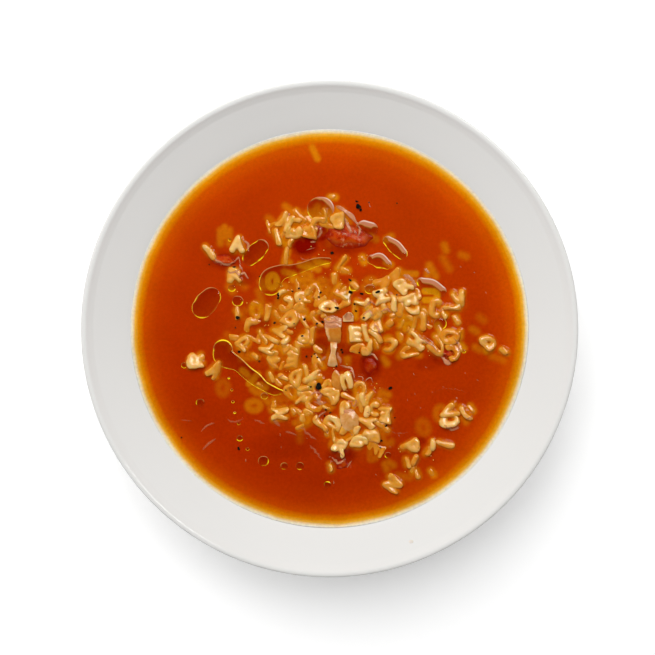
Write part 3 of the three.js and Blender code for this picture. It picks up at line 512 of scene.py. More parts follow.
def modify(piece, kind, **settings):
    """Adds a modifier and applies it."""
    modifier = only(piece).modifiers.new(kind.title(), kind)
    for key, value in settings.items():
        setattr(modifier, key, value)
    bpy.ops.object.modifier_apply(modifier=modifier.name)
    return piece


def places(piece):
    """A mesh's points, in mm, as an array of rows."""
    flat = np.empty(len(piece.data.vertices) * 3)
    piece.data.vertices.foreach_get("co", flat)
    return flat.reshape(-1, 3) / MM


def put(piece, points):
    """Moves a mesh's points to places in mm."""
    piece.data.vertices.foreach_set("co", (points * MM).ravel())
    piece.data.update()


def quads_of(piece):
    """The faces of a mesh of quads, as an array of rows."""
    loops = np.empty(len(piece.data.loops), np.int32)
    piece.data.loops.foreach_get("vertex_index", loops)
    return loops.reshape(-1, 4)


def mesh_piece(name, parts):
    """One object of many parts, each with its points in mm and its quads."""
    points = np.concatenate([p for p, _ in parts])
    shifts = np.cumsum([0] + [len(p) for p, _ in parts[:-1]])
    quads = np.concatenate([q + shift for (_, q), shift in zip(parts, shifts)])
    data = bpy.data.meshes.new(name)
    data.vertices.add(len(points))
    data.vertices.foreach_set("co", (points * MM).ravel())
    data.loops.add(quads.size)
    data.loops.foreach_set("vertex_index", quads.astype(np.int32).ravel())
    data.polygons.add(len(quads))
    data.polygons.foreach_set("loop_start", np.arange(0, quads.size, 4, dtype=np.int32))
    data.update(calc_edges=True)
    data.validate()
    piece = bpy.data.objects.new(name, data)
    bpy.context.scene.collection.objects.link(piece)
    only(piece)
    bpy.ops.object.shade_smooth()
    return piece


def seal(piece, gap=0):
    """Merges points that lie less than a gap in mm apart, and turns every face outwards."""
    only(piece)
    bpy.ops.object.mode_set(mode="EDIT")
    bpy.ops.mesh.select_all(action="SELECT")
    if gap:
        bpy.ops.mesh.remove_doubles(threshold=gap * MM)
    bpy.ops.mesh.normals_make_consistent(inside=False)
    bpy.ops.object.mode_set(mode="OBJECT")
    bpy.ops.object.shade_smooth()


def mark(piece, name, values):
    """Stores a number at each point, for the material to read."""
    layer = piece.data.attributes.new(name, "FLOAT", "POINT")
    layer.data.foreach_set("value", np.asarray(values, np.float32))


def finished(piece, material, slot, *nodes):
    """Gives a piece its finish and its place in the frame."""
    piece.data.materials.clear()
    piece.data.materials.append(material)
    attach(piece, ROOT)
    if nodes:
        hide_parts(*nodes)
    return piece


def smooth(low, high, value):
    """A soft step from 0 at low to 1 at high."""
    t = np.clip((value - low) / (high - low), 0, 1)
    return t * t * (3 - 2 * t)


def ripples(draw, count, shortest, longest):
    """A smooth random field of waves between two wavelengths, in mm: about -1 to 1 at any point."""
    waves = []
    for _ in range(count):
        way = Vector((draw.gauss(0, 1), draw.gauss(0, 1), draw.gauss(0, 1))).normalized()
        wave = np.array(way) * 2 * math.pi / draw.uniform(shortest, longest)
        waves.append((wave, draw.uniform(0, 2 * math.pi)))
    return lambda p: sum(np.sin(p @ w + phase) for w, phase in waves) / math.sqrt(count / 2)


def spline(pairs, steps=6):
    """A smooth curve through the pairs, with so many steps between two of them."""
    p = [np.array(pair, float) for pair in pairs]
    out = []
    for i in range(len(p) - 1):
        a, b = p[i], p[i + 1]
        start = (b - (p[i - 1] if i else a)) / 2
        end = ((p[i + 2] if i + 2 < len(p) else b) - a) / 2
        for k in range(steps):
            t = k / steps
            cubic, square = 2 * a - 2 * b + start + end, 3 * b - 3 * a - 2 * start - end
            out.append(cubic * t**3 + square * t**2 + start * t + a)
    return out + [p[-1]]


WALL = np.array(spline(INSIDE))


def wall_radius(height):
    return float(np.interp(height, WALL[:, 1], WALL[:, 0]))


def film(x, y, settings):
    """Height of the broth, in mm: it rises over heaped pasta and climbs the wall."""
    rise = np.zeros_like(x)
    for clump in CLUMPS.values():
        for pad in clump["pads"]:
            outside = (share_out(x, y, pad) - 1) * min(pad[2:4]) * STEP
            heaped = settings.cling * (1 + 0.8 * pad[4]), settings.fade
            top, fade = LONE_FILM if is_lone(clump) else heaped
            rise += (top * smooth(0.8 * fade, -0.2 * fade, outside)) ** FILM_BLEND
    rise = rise ** (1 / FILM_BLEND)
    for tx, ty, rx, ry, turn, *_ in TOMATOES.values():
        across, up = turned(x / STEP - tx, y / STEP - ty, -turn)
        rise = rise * (1 - 0.45 * smooth(2.8, 0.7, np.hypot(across / rx, up / ry)))
    shore = wall_radius(SOUP_LEVEL + settings.meniscus) - np.hypot(x, y)
    return SOUP_LEVEL + rise + settings.meniscus * np.exp(-np.maximum(shore, 0) / CLIMB_WIDTH)


def ground_height(x, y):
    """Height, in mm, of what lies at a place in mm, seen from above."""
    depsgraph = bpy.context.evaluated_depsgraph_get()
    start = Vector((x, y, 2 * BOWL_HEIGHT)) * MM
    _hit, place, *_ = bpy.context.scene.ray_cast(depsgraph, start, Vector((0, 0, -1)))
    return place.z / MM


def melt(balls, voxel, rounds, detail=2):
    """Melts balls, each its middle and radius in mm, into one body of even quads."""
    bpy.ops.object.select_all(action="DESELECT")
    bpy.ops.mesh.primitive_ico_sphere_add(subdivisions=detail, radius=MM)
    ball = bpy.context.active_object
    unit = places(ball)
    triangles = np.array([list(face.vertices) for face in ball.data.polygons])
    points = np.concatenate([unit * r + np.array((x, y, z)) for x, y, z, r in balls])
    faces = np.concatenate([triangles + len(unit) * i for i in range(len(balls))])
    ball.data.clear_geometry()
    ball.data.from_pydata((points * MM).tolist(), [], faces.tolist())
    modify(ball, "REMESH", mode="VOXEL", voxel_size=voxel * MM, adaptivity=0)
    if rounds:
        modify(ball, "SMOOTH", factor=0.5, iterations=rounds)
    made = places(ball), quads_of(ball)
    data = ball.data
    bpy.data.objects.remove(ball)
    bpy.data.meshes.remove(data)
    return made


def add(material, kind, inputs=(), stops=None, **settings):
    """Adds a node. Inputs are values, sockets or nodes to link; stops are a ramp's places and colours."""
    made = material.node_tree.nodes.new("ShaderNode" + kind)
    for key, value in settings.items():
        setattr(made, key, value)
    for key, value in dict(inputs).items():
        if isinstance(value, bpy.types.Node):
            value = next(socket for socket in value.outputs if socket.enabled)
        if isinstance(value, bpy.types.NodeSocket):
            material.node_tree.links.new(value, made.inputs[key])
        else:
            made.inputs[key].default_value = value
    for i, (place, shade) in enumerate(stops or ()):
        element = made.color_ramp.elements[i] if i < 2 else made.color_ramp.elements.new(place)
        element.position = place
        element.color = shade
    return made


def new_material(name):
    """An empty node material, and the object coordinates that its patterns follow."""
    material = bpy.data.materials.new(name)
    material.use_nodes = True
    material.node_tree.nodes.clear()
    return material, add(material, "TexCoord").outputs["Object"]


def surface(material, shader):
    add(material, "OutputMaterial", {"Surface": shader})
    return material


def rgba(shade):
    return (*shade, 1.0)


# ---- materials ----
def glazed_porcelain():
    """Hard-paste porcelain under a clear glaze: cool white and mirror smooth, with a faint unevenness."""
    s = bpy.context.scene.soup
    m, place = new_material("glazed_porcelain")
    cloud = add(m, "TexNoise", {"Vector": place, "Scale": 25.0, "Detail": 2.0})  # clouds 40 mm wide
    tone = add(
        m, "Mix", {"Factor": cloud, "A": rgba(s.glaze), "B": rgba([c * 0.97 for c in s.glaze])},
        data_type="RGBA",
    )
    peel = add(m, "TexNoise", {"Vector": place, "Scale": 160.0, "Detail": 1.0})  # 6 mm ripples of glaze
    bump = add(m, "Bump", {"Height": peel, "Strength": 0.02, "Distance": 0.0004})
    shader = add(m, "BsdfPrincipled", {"Base Color": tone, "Roughness": 0.07, "IOR": 1.5, "Normal": bump})
    return surface(m, shader)


def tomato_broth():
    """Tomato broth with oil in it: cloudy, so it hides the bowl, and thinner and yellower at the wall."""
    s = bpy.context.scene.soup
    m, place = new_material("tomato_broth")
    flat = add(m, "VectorMath", {0: place, 1: (1.0, 1.0, 0.0)}, operation="MULTIPLY")
    radius = add(m, "VectorMath", {0: flat}, operation="LENGTH")
    ragged = add(m, "TexNoise", {"Vector": place, "Scale": 90.0, "Detail": 3.0})  # 11 mm bays in the shore
    bay, deep_at = 1.2 * MM, 21 * MM
    shore = wall_radius(SOUP_LEVEL + s.meniscus) * MM + bay / 2
    uneven = add(m, "Math", {0: ragged, 1: bay, 2: radius}, operation="MULTIPLY_ADD")
    inward = add(m, "MapRange", {"Value": uneven, "From Min": shore, "From Max": shore - deep_at})
    ramp = add(
        m, "ValToRGB", {"Fac": inward},
        stops=[
            (0.0, rgba(s.shore)), (1.0, rgba(s.deep)), (0.05, rgba(s.cream)), (0.11, rgba(s.gold)),
            (0.18, rgba(s.amber)), (0.32, rgba(s.orange)), (0.6, rgba(s.rust)),
        ],
    )
    # 1.4 mm pulp
    mottle = add(m, "TexNoise", {"Vector": place, "Scale": 700.0, "Detail": 4.0, "Roughness": 0.65})
    drift = add(m, "TexNoise", {"Vector": place, "Scale": 38.0, "Detail": 3.0})  # 26 mm clouds in the broth
    grain = add(
        m, "MapRange",
        {"Value": mottle, "From Min": 0.3, "From Max": 0.7, "To Min": 0.9, "To Max": 1.1},
    )
    cloud = add(
        m, "MapRange",
        {"Value": drift, "From Min": 0.3, "From Max": 0.7, "To Min": 0.93, "To Max": 1.07},
    )
    glow = add(m, "Attribute", attribute_name="glow").outputs["Fac"]
    stain = add(m, "Attribute", attribute_name="stain").outputs["Fac"]
    lit = add(m, "Mix", {"Factor": glow, "A": ramp, "B": rgba(s.glow)}, data_type="RGBA")
    shreds = add(m, "TexNoise", {"Vector": place, "Scale": 230.0, "Detail": 3.0})  # 4 mm clouds of tomato
    cloudy = add(
        m, "MapRange",
        {"Value": shreds, "From Min": 0.3, "From Max": 0.65, "To Min": 0.75, "To Max": 1.2},
    )
    patchy = add(m, "Math", {0: cloudy, 1: stain}, operation="MULTIPLY", use_clamp=True)
    stained = add(m, "Mix", {"Factor": patchy, "A": lit, "B": rgba(s.stain)}, data_type="RGBA")
    both = add(m, "Math", {0: grain, 1: cloud}, operation="MULTIPLY")
    even = add(m, "VectorMath", {0: stained, "Scale": both}, operation="SCALE")
    # painted light: the broth is darker and redder towards -Y and a little -X, and lighter and yellower the
    # other way, as light falls off across the bowl
    across = add(m, "VectorMath", {0: place, 1: (0.5, 0.87, 0.0)}, operation="DOT_PRODUCT")
    painted_falloff = add(m, "MapRange", {"Value": across, "From Min": -0.085, "From Max": 0.085})
    painted_falloff_tone = add(
        m, "Mix", {"Factor": painted_falloff, "A": (0.88, 0.72, 0.7, 1), "B": (1.13, 1.3, 1.1, 1)},
        data_type="RGBA",
    )
    off_shore = add(m, "MapRange", {"Value": inward, "From Min": 0.05, "From Max": 0.5})
    inner_painted_falloff = add(m, "Mix", {"Factor": off_shore, "A": (1, 1, 1, 1), "B": painted_falloff_tone}, data_type="RGBA")
    shade = add(m, "VectorMath", {0: even, 1: inner_painted_falloff}, operation="MULTIPLY")
    froth = add(m, "Attribute", attribute_name="heap").outputs["Fac"]
    lumps = add(m, "TexNoise", {"Vector": place, "Scale": 420.0, "Detail": 3.0})  # 2.4 mm lumps in the heap
    depth = add(m, "Math", {0: lumps, 1: froth}, operation="MULTIPLY")
    bump = add(m, "Bump", {"Height": depth, "Strength": 0.35, "Distance": 0.001})
    shader = add(
        m, "BsdfPrincipled",
        {
            "Base Color": shade, "Roughness": 0.06, "IOR": 1.34, "Normal": bump,
            "Subsurface Weight": 0.2, "Subsurface Radius": (1.0, 0.5, 0.1), "Subsurface Scale": 0.0012,
        },
    )
    return surface(m, shader)


def cooked_pasta():
    """Boiled durum wheat pasta: cream and a little see-through, orange where the broth covers it."""
    s = bpy.context.scene.pasta
    m, place = new_material("cooked_pasta")
    out = add(m, "Attribute", attribute_name="bare").outputs["Fac"]
    soaked = add(m, "TexNoise", {"Vector": place, "Scale": 260.0, "Detail": 2.0})  # 4 mm patches of broth
    patch = add(
        m, "MapRange",
        {"Value": soaked, "From Min": 0.3, "From Max": 0.7, "To Min": -0.24, "To Max": 0.2},
    )
    level = add(m, "Math", {0: out, 1: patch}, operation="ADD", use_clamp=True)
    ramp = add(
        m, "ValToRGB", {"Fac": level},
        stops=[(0.0, rgba(s.wet)), (1.0, rgba(s.bare)), (0.5, rgba(s.damp))],
    )
    fine = add(m, "TexNoise", {"Vector": place, "Scale": 1100.0, "Detail": 2.0})  # 0.9 mm softened crumb
    bump = add(m, "Bump", {"Height": fine, "Strength": 0.12, "Distance": 0.0004})
    shader = add(
        m, "BsdfPrincipled",
        {
            "Base Color": ramp, "Roughness": 0.14, "IOR": 1.5, "Normal": bump,
            "Subsurface Weight": 0.5, "Subsurface Radius": (1.0, 0.5, 0.15), "Subsurface Scale": 0.0014,
        },
    )
    return surface(m, shader)


def stewed_tomato():
    """Stewed tomato: deep red wet flesh, orange where a film of broth lies over it."""
    s = bpy.context.scene.toppings
    m, place = new_material("stewed_tomato")
    broth = add(m, "TexNoise", {"Vector": place, "Scale": 240.0, "Detail": 2.0})  # 4 mm patches of broth
    # 1 mm fibres of flesh
    fibre = add(m, "TexNoise", {"Vector": place, "Scale": 1000.0, "Detail": 3.0, "Roughness": 0.6})
    both = add(m, "Math", {0: fibre, 1: 0.35, 2: broth}, operation="MULTIPLY_ADD")
    tone = add(
        m, "ValToRGB", {"Fac": both},
        stops=[(0.45, rgba(s.tomato_dark)), (0.9, rgba(s.tomato_light)), (0.66, rgba(s.tomato))],
    )
    out = add(m, "Attribute", attribute_name="bare").outputs["Fac"]
    drowned = add(m, "Mix", {"Factor": out, "A": rgba(s.tomato_drowned), "B": tone}, data_type="RGBA")
    # pink bits of skin on the bare flesh, which also serve as painted highlights on the wet tomato
    skin_and_highlight_noise = add(m, "TexNoise", {"Vector": place, "Scale": 500.0, "Detail": 3.0})  # 2 mm scraps of skin
    skin_and_highlight_patch = add(m, "MapRange", {"Value": skin_and_highlight_noise, "From Min": 0.58, "From Max": 0.74, "To Max": 0.7})
    bare_skin_and_highlight = add(m, "Math", {0: skin_and_highlight_patch, 1: out}, operation="MULTIPLY")
    flesh = add(m, "Mix", {"Factor": bare_skin_and_highlight, "A": drowned, "B": rgba(s.tomato_skin_and_sheen)}, data_type="RGBA")
    bump = add(m, "Bump", {"Height": fibre, "Strength": 0.3, "Distance": 0.0006})
    shader = add(
        m, "BsdfPrincipled",
        {
            "Base Color": flesh, "Roughness": 0.12, "IOR": 1.3, "Normal": bump,
            "Subsurface Weight": 0.15, "Subsurface Radius": (1.0, 0.2, 0.1), "Subsurface Scale": 0.001,
        },
    )
    return surface(m, shader)


def stewed_onion():
    """Stewed onion: a glassy layer that takes the broth's colour and pales softly where it is bare."""
    s = bpy.context.scene.toppings
    m, place = new_material("stewed_onion")
    out = add(m, "Attribute", attribute_name="bare").outputs["Fac"]
    # 3 mm clouds
    cloud = add(m, "TexNoise", {"Vector": place, "Scale": 330.0, "Detail": 2.0, "Distortion": 0.6})
    patch = add(
        m, "MapRange",
        {"Value": cloud, "From Min": 0.3, "From Max": 0.7, "To Min": -0.15, "To Max": 0.15},
    )
    level = add(m, "Math", {0: patch, 1: out}, operation="ADD", use_clamp=True)
    tone = add(
        m, "ValToRGB", {"Fac": level},
        stops=[(0.05, rgba(s.onion)), (0.95, rgba(s.onion_light)), (0.5, rgba(s.onion_middle))],
    )
    pink = add(m, "Attribute", attribute_name="pink").outputs["Fac"]
    skin = add(m, "Mix", {"Factor": pink, "A": tone, "B": rgba(s.onion_pink)}, data_type="RGBA")
    folds = add(m, "TexNoise", {"Vector": place, "Scale": 420.0, "Detail": 1.0})  # 2.4 mm folds of wet skin
    bump = add(m, "Bump", {"Height": folds, "Strength": 0.25, "Distance": 0.001})
    shader = add(
        m, "BsdfPrincipled",
        {
            "Base Color": skin, "Roughness": 0.07, "IOR": 1.42, "Normal": bump,
            "Subsurface Weight": 0.4, "Subsurface Radius": (1.0, 0.5, 0.25), "Subsurface Scale": 0.0015,
        },
    )
    return surface(m, shader)


def olive_oil():
    """Olive oil on broth: a clear lens that dims the broth at its top with painted shade, and a painted gold
    line of gathered light and a painted pale reflection at its edge.
    """
    s = bpy.context.scene.toppings
    m, place = new_material("olive_oil")
    # painted shade: the broth under a drop is dimmed most at the drop's top side and least at its low side
    low = add(m, "Attribute", attribute_name="low").outputs["Fac"]
    cloud = add(m, "TexNoise", {"Vector": place, "Scale": 350.0, "Detail": 2.0})  # 3 mm swirls
    level = add(m, "Math", {0: cloud, 1: 0.5, 2: low}, operation="MULTIPLY_ADD")
    unshaded_share = add(m, "MapRange", {"Value": level, "From Min": 0.3, "From Max": 1.15})
    through = add(m, "Mix", {"Factor": unshaded_share, "A": rgba(s.oil_painted_shade), "B": rgba(s.oil)}, data_type="RGBA")
    clear = add(m, "BsdfTransparent", {"Color": through})
    # painted light: the gold line at a drop's edge is an opaque colour that glows a little, not light focused
    # by the oil
    edge = add(
        m, "BsdfPrincipled",
        {
            "Base Color": rgba(s.oil_painted_caustic), "Roughness": 0.3, "IOR": 1.47,
            "Emission Color": rgba(s.oil_painted_caustic), "Emission Strength": 0.2,
        },
    )
    gold = add(m, "Attribute", attribute_name="gold").outputs["Fac"]
    # the pale mark is painted reflection: its colours and its cover stand in for light mirrored on a drop's
    # edge
    pale = add(m, "Attribute", attribute_name="pale").outputs["Fac"]
    skin = add(
        m, "ValToRGB", {"Fac": pale},
        stops=[(0.3, rgba(s.oil_painted_rim)), (1.0, rgba(s.oil_painted_shine)), (0.6, rgba(s.oil_painted_veil))],
    )
    painted_veil = add(
        m, "BsdfPrincipled",
        {"Base Color": skin, "Roughness": 0.3, "IOR": 1.47, "Specular IOR Level": 0.2},
    )
    thick = add(m, "MapRange", {"Value": pale, "From Max": 0.55, "To Max": 0.86})
    veiled = add(m, "MixShader", {0: thick, 1: clear, 2: painted_veil})
    body = add(m, "MixShader", {0: gold, 1: veiled, 2: edge})
    gloss = add(m, "BsdfAnisotropic", {"Color": (1, 1, 1, 1), "Roughness": 0.02})
    # the mirror grows by slant alone, so light that leaves the oil isn't turned back inside it
    slant = add(m, "LayerWeight", {"Blend": 0.5}).outputs["Facing"]
    grazing = add(m, "Math", {0: slant, 1: 5.0}, operation="POWER")
    mirror = add(m, "Math", {0: grazing, 1: 0.9, 2: 0.022}, operation="MULTIPLY_ADD")
    dull = add(m, "MapRange", {"Value": pale, "From Max": 0.5, "To Min": 1.0, "To Max": 0.0})
    shiny = add(m, "Math", {0: mirror, 1: dull}, operation="MULTIPLY")
    wet = add(m, "MixShader", {0: shiny, 1: body, 2: gloss})
    return surface(m, wet)


def skin_and_sheen_film():
    """A film of tomato skin and oil: thin, wet and pink, partly a painted reflection of light on oil, and
    see-through at its edges.
    """
    s = bpy.context.scene.toppings
    m, place = new_material("skin_and_sheen_film")
    pale = add(m, "Attribute", attribute_name="pale").outputs["Fac"]
    clear = add(m, "BsdfTransparent", {"Color": (1, 1, 1, 1)})
    folds = add(m, "TexNoise", {"Vector": place, "Scale": 900.0, "Detail": 2.0})  # 1 mm folds
    bump = add(m, "Bump", {"Height": folds, "Strength": 0.4, "Distance": 0.0005})
    skin = add(
        m, "BsdfPrincipled",
        {"Base Color": rgba(s.tomato_skin_and_sheen), "Roughness": 0.2, "IOR": 1.42, "Normal": bump},
    )
    thin = add(m, "MixShader", {0: pale, 1: clear, 2: skin})
    return surface(m, thin)


def ground_pepper():
    """Coarsely ground black pepper: near-black skin with pale inner bits, rough and slightly oily."""
    s = bpy.context.scene.toppings
    m, place = new_material("ground_pepper")
    chips = add(m, "TexNoise", {"Vector": place, "Scale": 1600.0, "Detail": 2.0})  # 0.6 mm chips
    ramp = add(m, "ValToRGB", {"Fac": chips}, stops=[(0.6, rgba(s.pepper)), (0.8, rgba(s.pepper_light))])
    bump = add(m, "Bump", {"Height": chips, "Strength": 0.6, "Distance": 0.0004})
    shader = add(
        m, "BsdfPrincipled",
        {"Base Color": ramp, "Roughness": 0.6, "Normal": bump, "Specular IOR Level": 0.2},
    )
    return surface(m, shader)


def white_card():
    """Matt white card: even and pale."""
    s = bpy.context.scene.stage
    m, place = new_material("white_card")
    tooth = add(m, "TexNoise", {"Vector": place, "Scale": 900.0})  # 1 mm tooth of the card
    bump = add(m, "Bump", {"Height": tooth, "Strength": 0.05, "Distance": 0.0002})
    shader = add(
        m, "BsdfPrincipled",
        {
            "Base Color": rgba(s.floor), "Roughness": 0.9, "Normal": bump, "Specular IOR Level": 0.0,
            "Emission Color": (1, 1, 1, 1), "Emission Strength": 0.29,
        },
    )
    return surface(m, shader)


# ---- letters ----
def stroke_points(stroke, settings):
    """Middles of the balls along one stroke, in the letter's own plane."""
    across = settings.width - settings.stroke
    up = settings.height - settings.stroke
    kind, *v = stroke
    if kind == "line":
        a = np.array(((v[0] - 0.5) * across, (v[1] - 0.5) * up))
        b = np.array(((v[2] - 0.5) * across, (v[3] - 0.5) * up))
        count = max(2, round(np.linalg.norm(b - a) / BALL_SPACING) + 1)
        return [a + (b - a) * i / (count - 1) for i in range(count)]
    x, y, rx, ry, start, end = v
    length = math.radians(abs(end - start)) * (rx * across + ry * up) / 2
    count = max(4, round(length / BALL_SPACING) + 1)
    angles = [math.radians(start + (end - start) * i / (count - 1)) for i in range(count)]
    return [
        np.array(((x - 0.5 + rx * math.cos(a)) * across, (y - 0.5 + ry * math.sin(a)) * up)) for a in angles
    ]


templates = {}


def letter_template(name):
    """A letter melted from balls, its points in mm and its quads."""
    if name not in templates:
        s = bpy.context.scene.pasta
        radius = (s.stroke + s.swell) / 2
        balls = [(x, y, 0, radius) for stroke in ALPHABET[name] for x, y in stroke_points(stroke, s)]
        points, quads = melt(balls, LETTER_VOXEL, 3)
        points[:, 2] *= s.thickness / s.stroke
        templates[name] = points, quads
    return templates[name]


def laid_letter(name, x, y, turn, middle, lean, draw):
    """One letter in its place, its middle at a height in mm, pushed out of true as cooked pasta is."""
    points, quads = letter_template(name)
    s = bpy.context.scene.pasta
    points = points * draw.uniform(0.92, 1.08)
    sway = [ripples(draw, 3, 6, 14) for _ in range(3)]
    push = np.stack([field(points) for field in sway], axis=1)
    points = points + push * np.array((s.wobble, s.wobble, s.wobble * 0.6))
    lumps = ripples(draw, 4, 1.8, 4)(points)[:, None]
    points = points * (1 + 0.02 * lumps)
    tilt, spin = math.radians(lean + draw.gauss(0, s.tilt)), math.radians(turn + draw.gauss(0, s.tilt))
    over = np.array(((math.cos(tilt), 0, math.sin(tilt)), (0, 1, 0), (-math.sin(tilt), 0, math.cos(tilt))))
    round_up = np.array(((math.cos(spin), -math.sin(spin), 0), (math.sin(spin), math.cos(spin), 0), (0, 0, 1)))
    return points @ over.T @ round_up.T + np.array((x * STEP, y * STEP, middle)), quads


def heap_height(pads, x, y):
    """How high a clump's core stands over the soup at a plan position."""
    inside = [heap for px, py, rx, ry, heap in pads if math.hypot((x - px) / rx, (y - py) / ry) < 1]
    return CORE_RISE + max(inside, default=0)


def show_out(piece, settings, reach, tones=0):
    """Marks how bare of broth each point is: 0 at the waterline and on steep flanks, 1 on tops a reach up. The
    steep flanks are partly a film of broth and partly painted shade.
    """
    p = places(piece)
    up = np.empty(len(p) * 3)
    piece.data.vertex_normals.foreach_get("vector", up)
    out = (p[:, 2] - film(p[:, 0], p[:, 1], settings)) / reach
    # partly painted shade: flanks that face sideways get the wet colour, while up-facing tops stay pale
    mark(piece, "bare", np.clip(out, 0, 1) * (1 + tones) * smooth(-0.1, 0.85, up.reshape(-1, 3)[:, 2]))


def letter_tones(parts, draw, soak=0):
    """A tone for each letter, repeated for its points, because no two letters take up broth alike."""
    return np.concatenate([np.full(len(points), draw.uniform(-0.45, 0.05) - soak) for points, _ in parts])


# ---- operators ----
class SOUP_OT_bowl(bpy.types.Operator):
    """Turns the porcelain bowl from its profile"""

    bl_idname = "soup.bowl"
    bl_label = "Bowl"

    def execute(self, context):
        profile = [*spline(FOOT, 4), *spline(OUTSIDE)[1:], *spline(LIP)[1:], *spline(INSIDE)[::-1][1:]]
        profile = [*profile, np.array((20, FLOOR_TOP + 0.1)), np.array((0, FLOOR_TOP))]
        data = bpy.data.meshes.new("bowl_porcelain")
        edges = [(i, i + 1) for i in range(len(profile) - 1)]
        data.from_pydata([(x * MM, 0, z * MM) for x, z in profile], edges, [])
        piece = bpy.data.objects.new("bowl_porcelain", data)
        context.scene.collection.objects.link(piece)
        only(piece)
        bpy.ops.object.mode_set(mode="EDIT")
        bpy.ops.mesh.select_all(action="SELECT")
        bpy.ops.mesh.spin(steps=256, angle=2 * math.pi, center=(0, 0, 0), axis=(0, 0, 1))
        bpy.ops.object.mode_set(mode="OBJECT")
        seal(piece, 0.001)
        finished(piece, glazed_porcelain(), "porcelain", "bowl")
        return {"FINISHED"}


def blur_in(x, y, glow, name, px, py, turn, clear, blur):
    """Lets a sunk letter show through the broth round its strokes."""
    s = bpy.context.scene.pasta
    reach = s.height / 2 + s.stroke + 2 * blur
    near = (np.abs(x - px * STEP) < reach) & (np.abs(y - py * STEP) < reach)
    if not near.any():
        return
    lx, ly = turned(x[near] - px * STEP, y[near] - py * STEP, -turn)
    dots = [p for stroke in ALPHABET[name] for p in stroke_points(stroke, s)]
    away = np.min([np.hypot(lx - dx, ly - dy) for dx, dy in dots], axis=0) - (s.stroke + s.swell) / 2
    glow[near] = np.maximum(glow[near], clear * smooth(blur, -blur, away))


class SOUP_OT_broth(bpy.types.Operator):
    """Makes the broth, with its film over the pasta and the sunk letters that show through"""

    bl_idname = "soup.broth"
    bl_label = "Broth"

    def execute(self, context):
        s = context.scene.soup
        bpy.ops.object.select_all(action="DESELECT")
        bpy.ops.mesh.primitive_grid_add(x_subdivisions=BROTH_CELLS, y_subdivisions=BROTH_CELLS, size=2 * MM)
        piece = context.active_object
        piece.name = piece.data.name = "broth"
        square = places(piece)
        edge = wall_radius(SOUP_LEVEL + s.meniscus) + 0.08
        x = square[:, 0] * np.sqrt(1 - square[:, 1] ** 2 / 2) * edge
        y = square[:, 1] * np.sqrt(1 - square[:, 0] ** 2 / 2) * edge
        put(piece, np.stack([x, y, film(x, y, s)], axis=1))
        self.close_below(piece, edge)
        p = places(piece)
        self.show_through(piece, p[:, 0], p[:, 1], s)
        material = tomato_broth()
        finished(piece, material, "broth", "soup")
        self.splash(material)
        return {"FINISHED"}

    def splash(self, material):
        """A drop of broth that has landed on the wall."""
        x, y, rx, ry = SPLASH
        points, quads = melt([(0, 0, 0, 1)], 0.2, 2)
        flat = points[:, :2] * (rx * STEP, ry * STEP) + (x * STEP, y * STEP)
        wall = np.interp(np.hypot(flat[:, 0], flat[:, 1]), WALL[:, 0], WALL[:, 1])
        piece = mesh_piece("splash", [(np.column_stack([flat, wall + 0.16 * points[:, 2]]), quads)])
        mark(piece, "glow", 0.12 * smooth(0, 0.5, points[:, 2]))
        finished(piece, material, "broth")

    def close_below(self, piece, edge):
        """Draws the surface's border down the wall and shuts it on the floor of the bowl."""
        below = [(r - 0.1, z + 0.1) for r, z in WALL[::-4] if z < SOUP_LEVEL - 1]
        height = SOUP_LEVEL + bpy.context.scene.soup.meniscus
        only(piece)
        bpy.ops.object.mode_set(mode="EDIT")
        bpy.ops.mesh.select_mode(type="EDGE")
        bpy.ops.mesh.select_all(action="DESELECT")
        bpy.ops.mesh.select_non_manifold()
        for r, z in [*below, (12, FLOOR_TOP + 0.2)]:
            bpy.ops.mesh.extrude_region_move(TRANSFORM_OT_translate={"value": (0, 0, (z - height) * MM)})
            bpy.ops.transform.resize(value=(r / edge, r / edge, 1), center_override=(0, 0, 0))
            edge, height = r, z
        bpy.ops.mesh.merge(type="CENTER")
        bpy.ops.object.mode_set(mode="OBJECT")
        seal(piece)

    def show_through(self, piece, x, y, s):
        """Marks where sunk pasta, heaps and tomato colour the broth."""
        draw = random.Random(bpy.context.scene.pasta.seed)
        glow = np.zeros_like(x)
        for row in SUNK:
            blur_in(x, y, glow, *row)
        pads = [pad for name in ("pasta_raft", "pasta_top") for pad in CLUMPS[name]["pads"]]
        names = list(ALPHABET)
        for _ in range(UNDERLAYER):
            px, py, rx, ry, _heap = draw.choice(pads)
            way, far = draw.uniform(0, 2 * math.pi), math.sqrt(draw.random()) * 1.02
            at = px + rx * far * math.cos(way), py + ry * far * math.sin(way)
            clear = draw.uniform(0.15, 0.6)
            name, turn, blur = draw.choice(names), draw.uniform(0, 360), draw.uniform(0.7, 1.7)
            blur_in(x, y, glow, name, *at, turn, clear, blur)
        heap = np.zeros_like(x)
        for clump in CLUMPS.values():
            for pad in clump["pads"]:
                heap = np.maximum(heap, smooth(1.25, 0.7, share_out(x, y, pad)))
        climb = np.zeros_like(x)
        for clump in CLUMPS.values():
            for name, lx, ly, turn, *_ in clump["letters"]:
                blur_in(x, y, glow, name, lx, ly, turn, 0.85, 1.4)
                blur_in(x, y, climb, name, lx, ly, turn, 1.0, 0.9)
        for name, lx, ly, turn, _out in HALF_SUNK:
            blur_in(x, y, glow, name, lx, ly, turn, 0.85, 1.3)
        glow = np.maximum(glow, 0.08 * heap)
        stain = np.zeros_like(x)
        for row in STAINS:
            stain = np.maximum(stain, row[4] * smooth(1.15, 0.5, share_out(x, y, row)))
        p = places(piece)
        top = p[:, 2] > SOUP_LEVEL - 0.5
        p[:, 2] += s.climb * climb * top
        put(piece, p)
        mark(piece, "glow", glow * (1 - 0.85 * stain) * top)
        mark(piece, "heap", heap * top)
        mark(piece, "stain", stain * top)


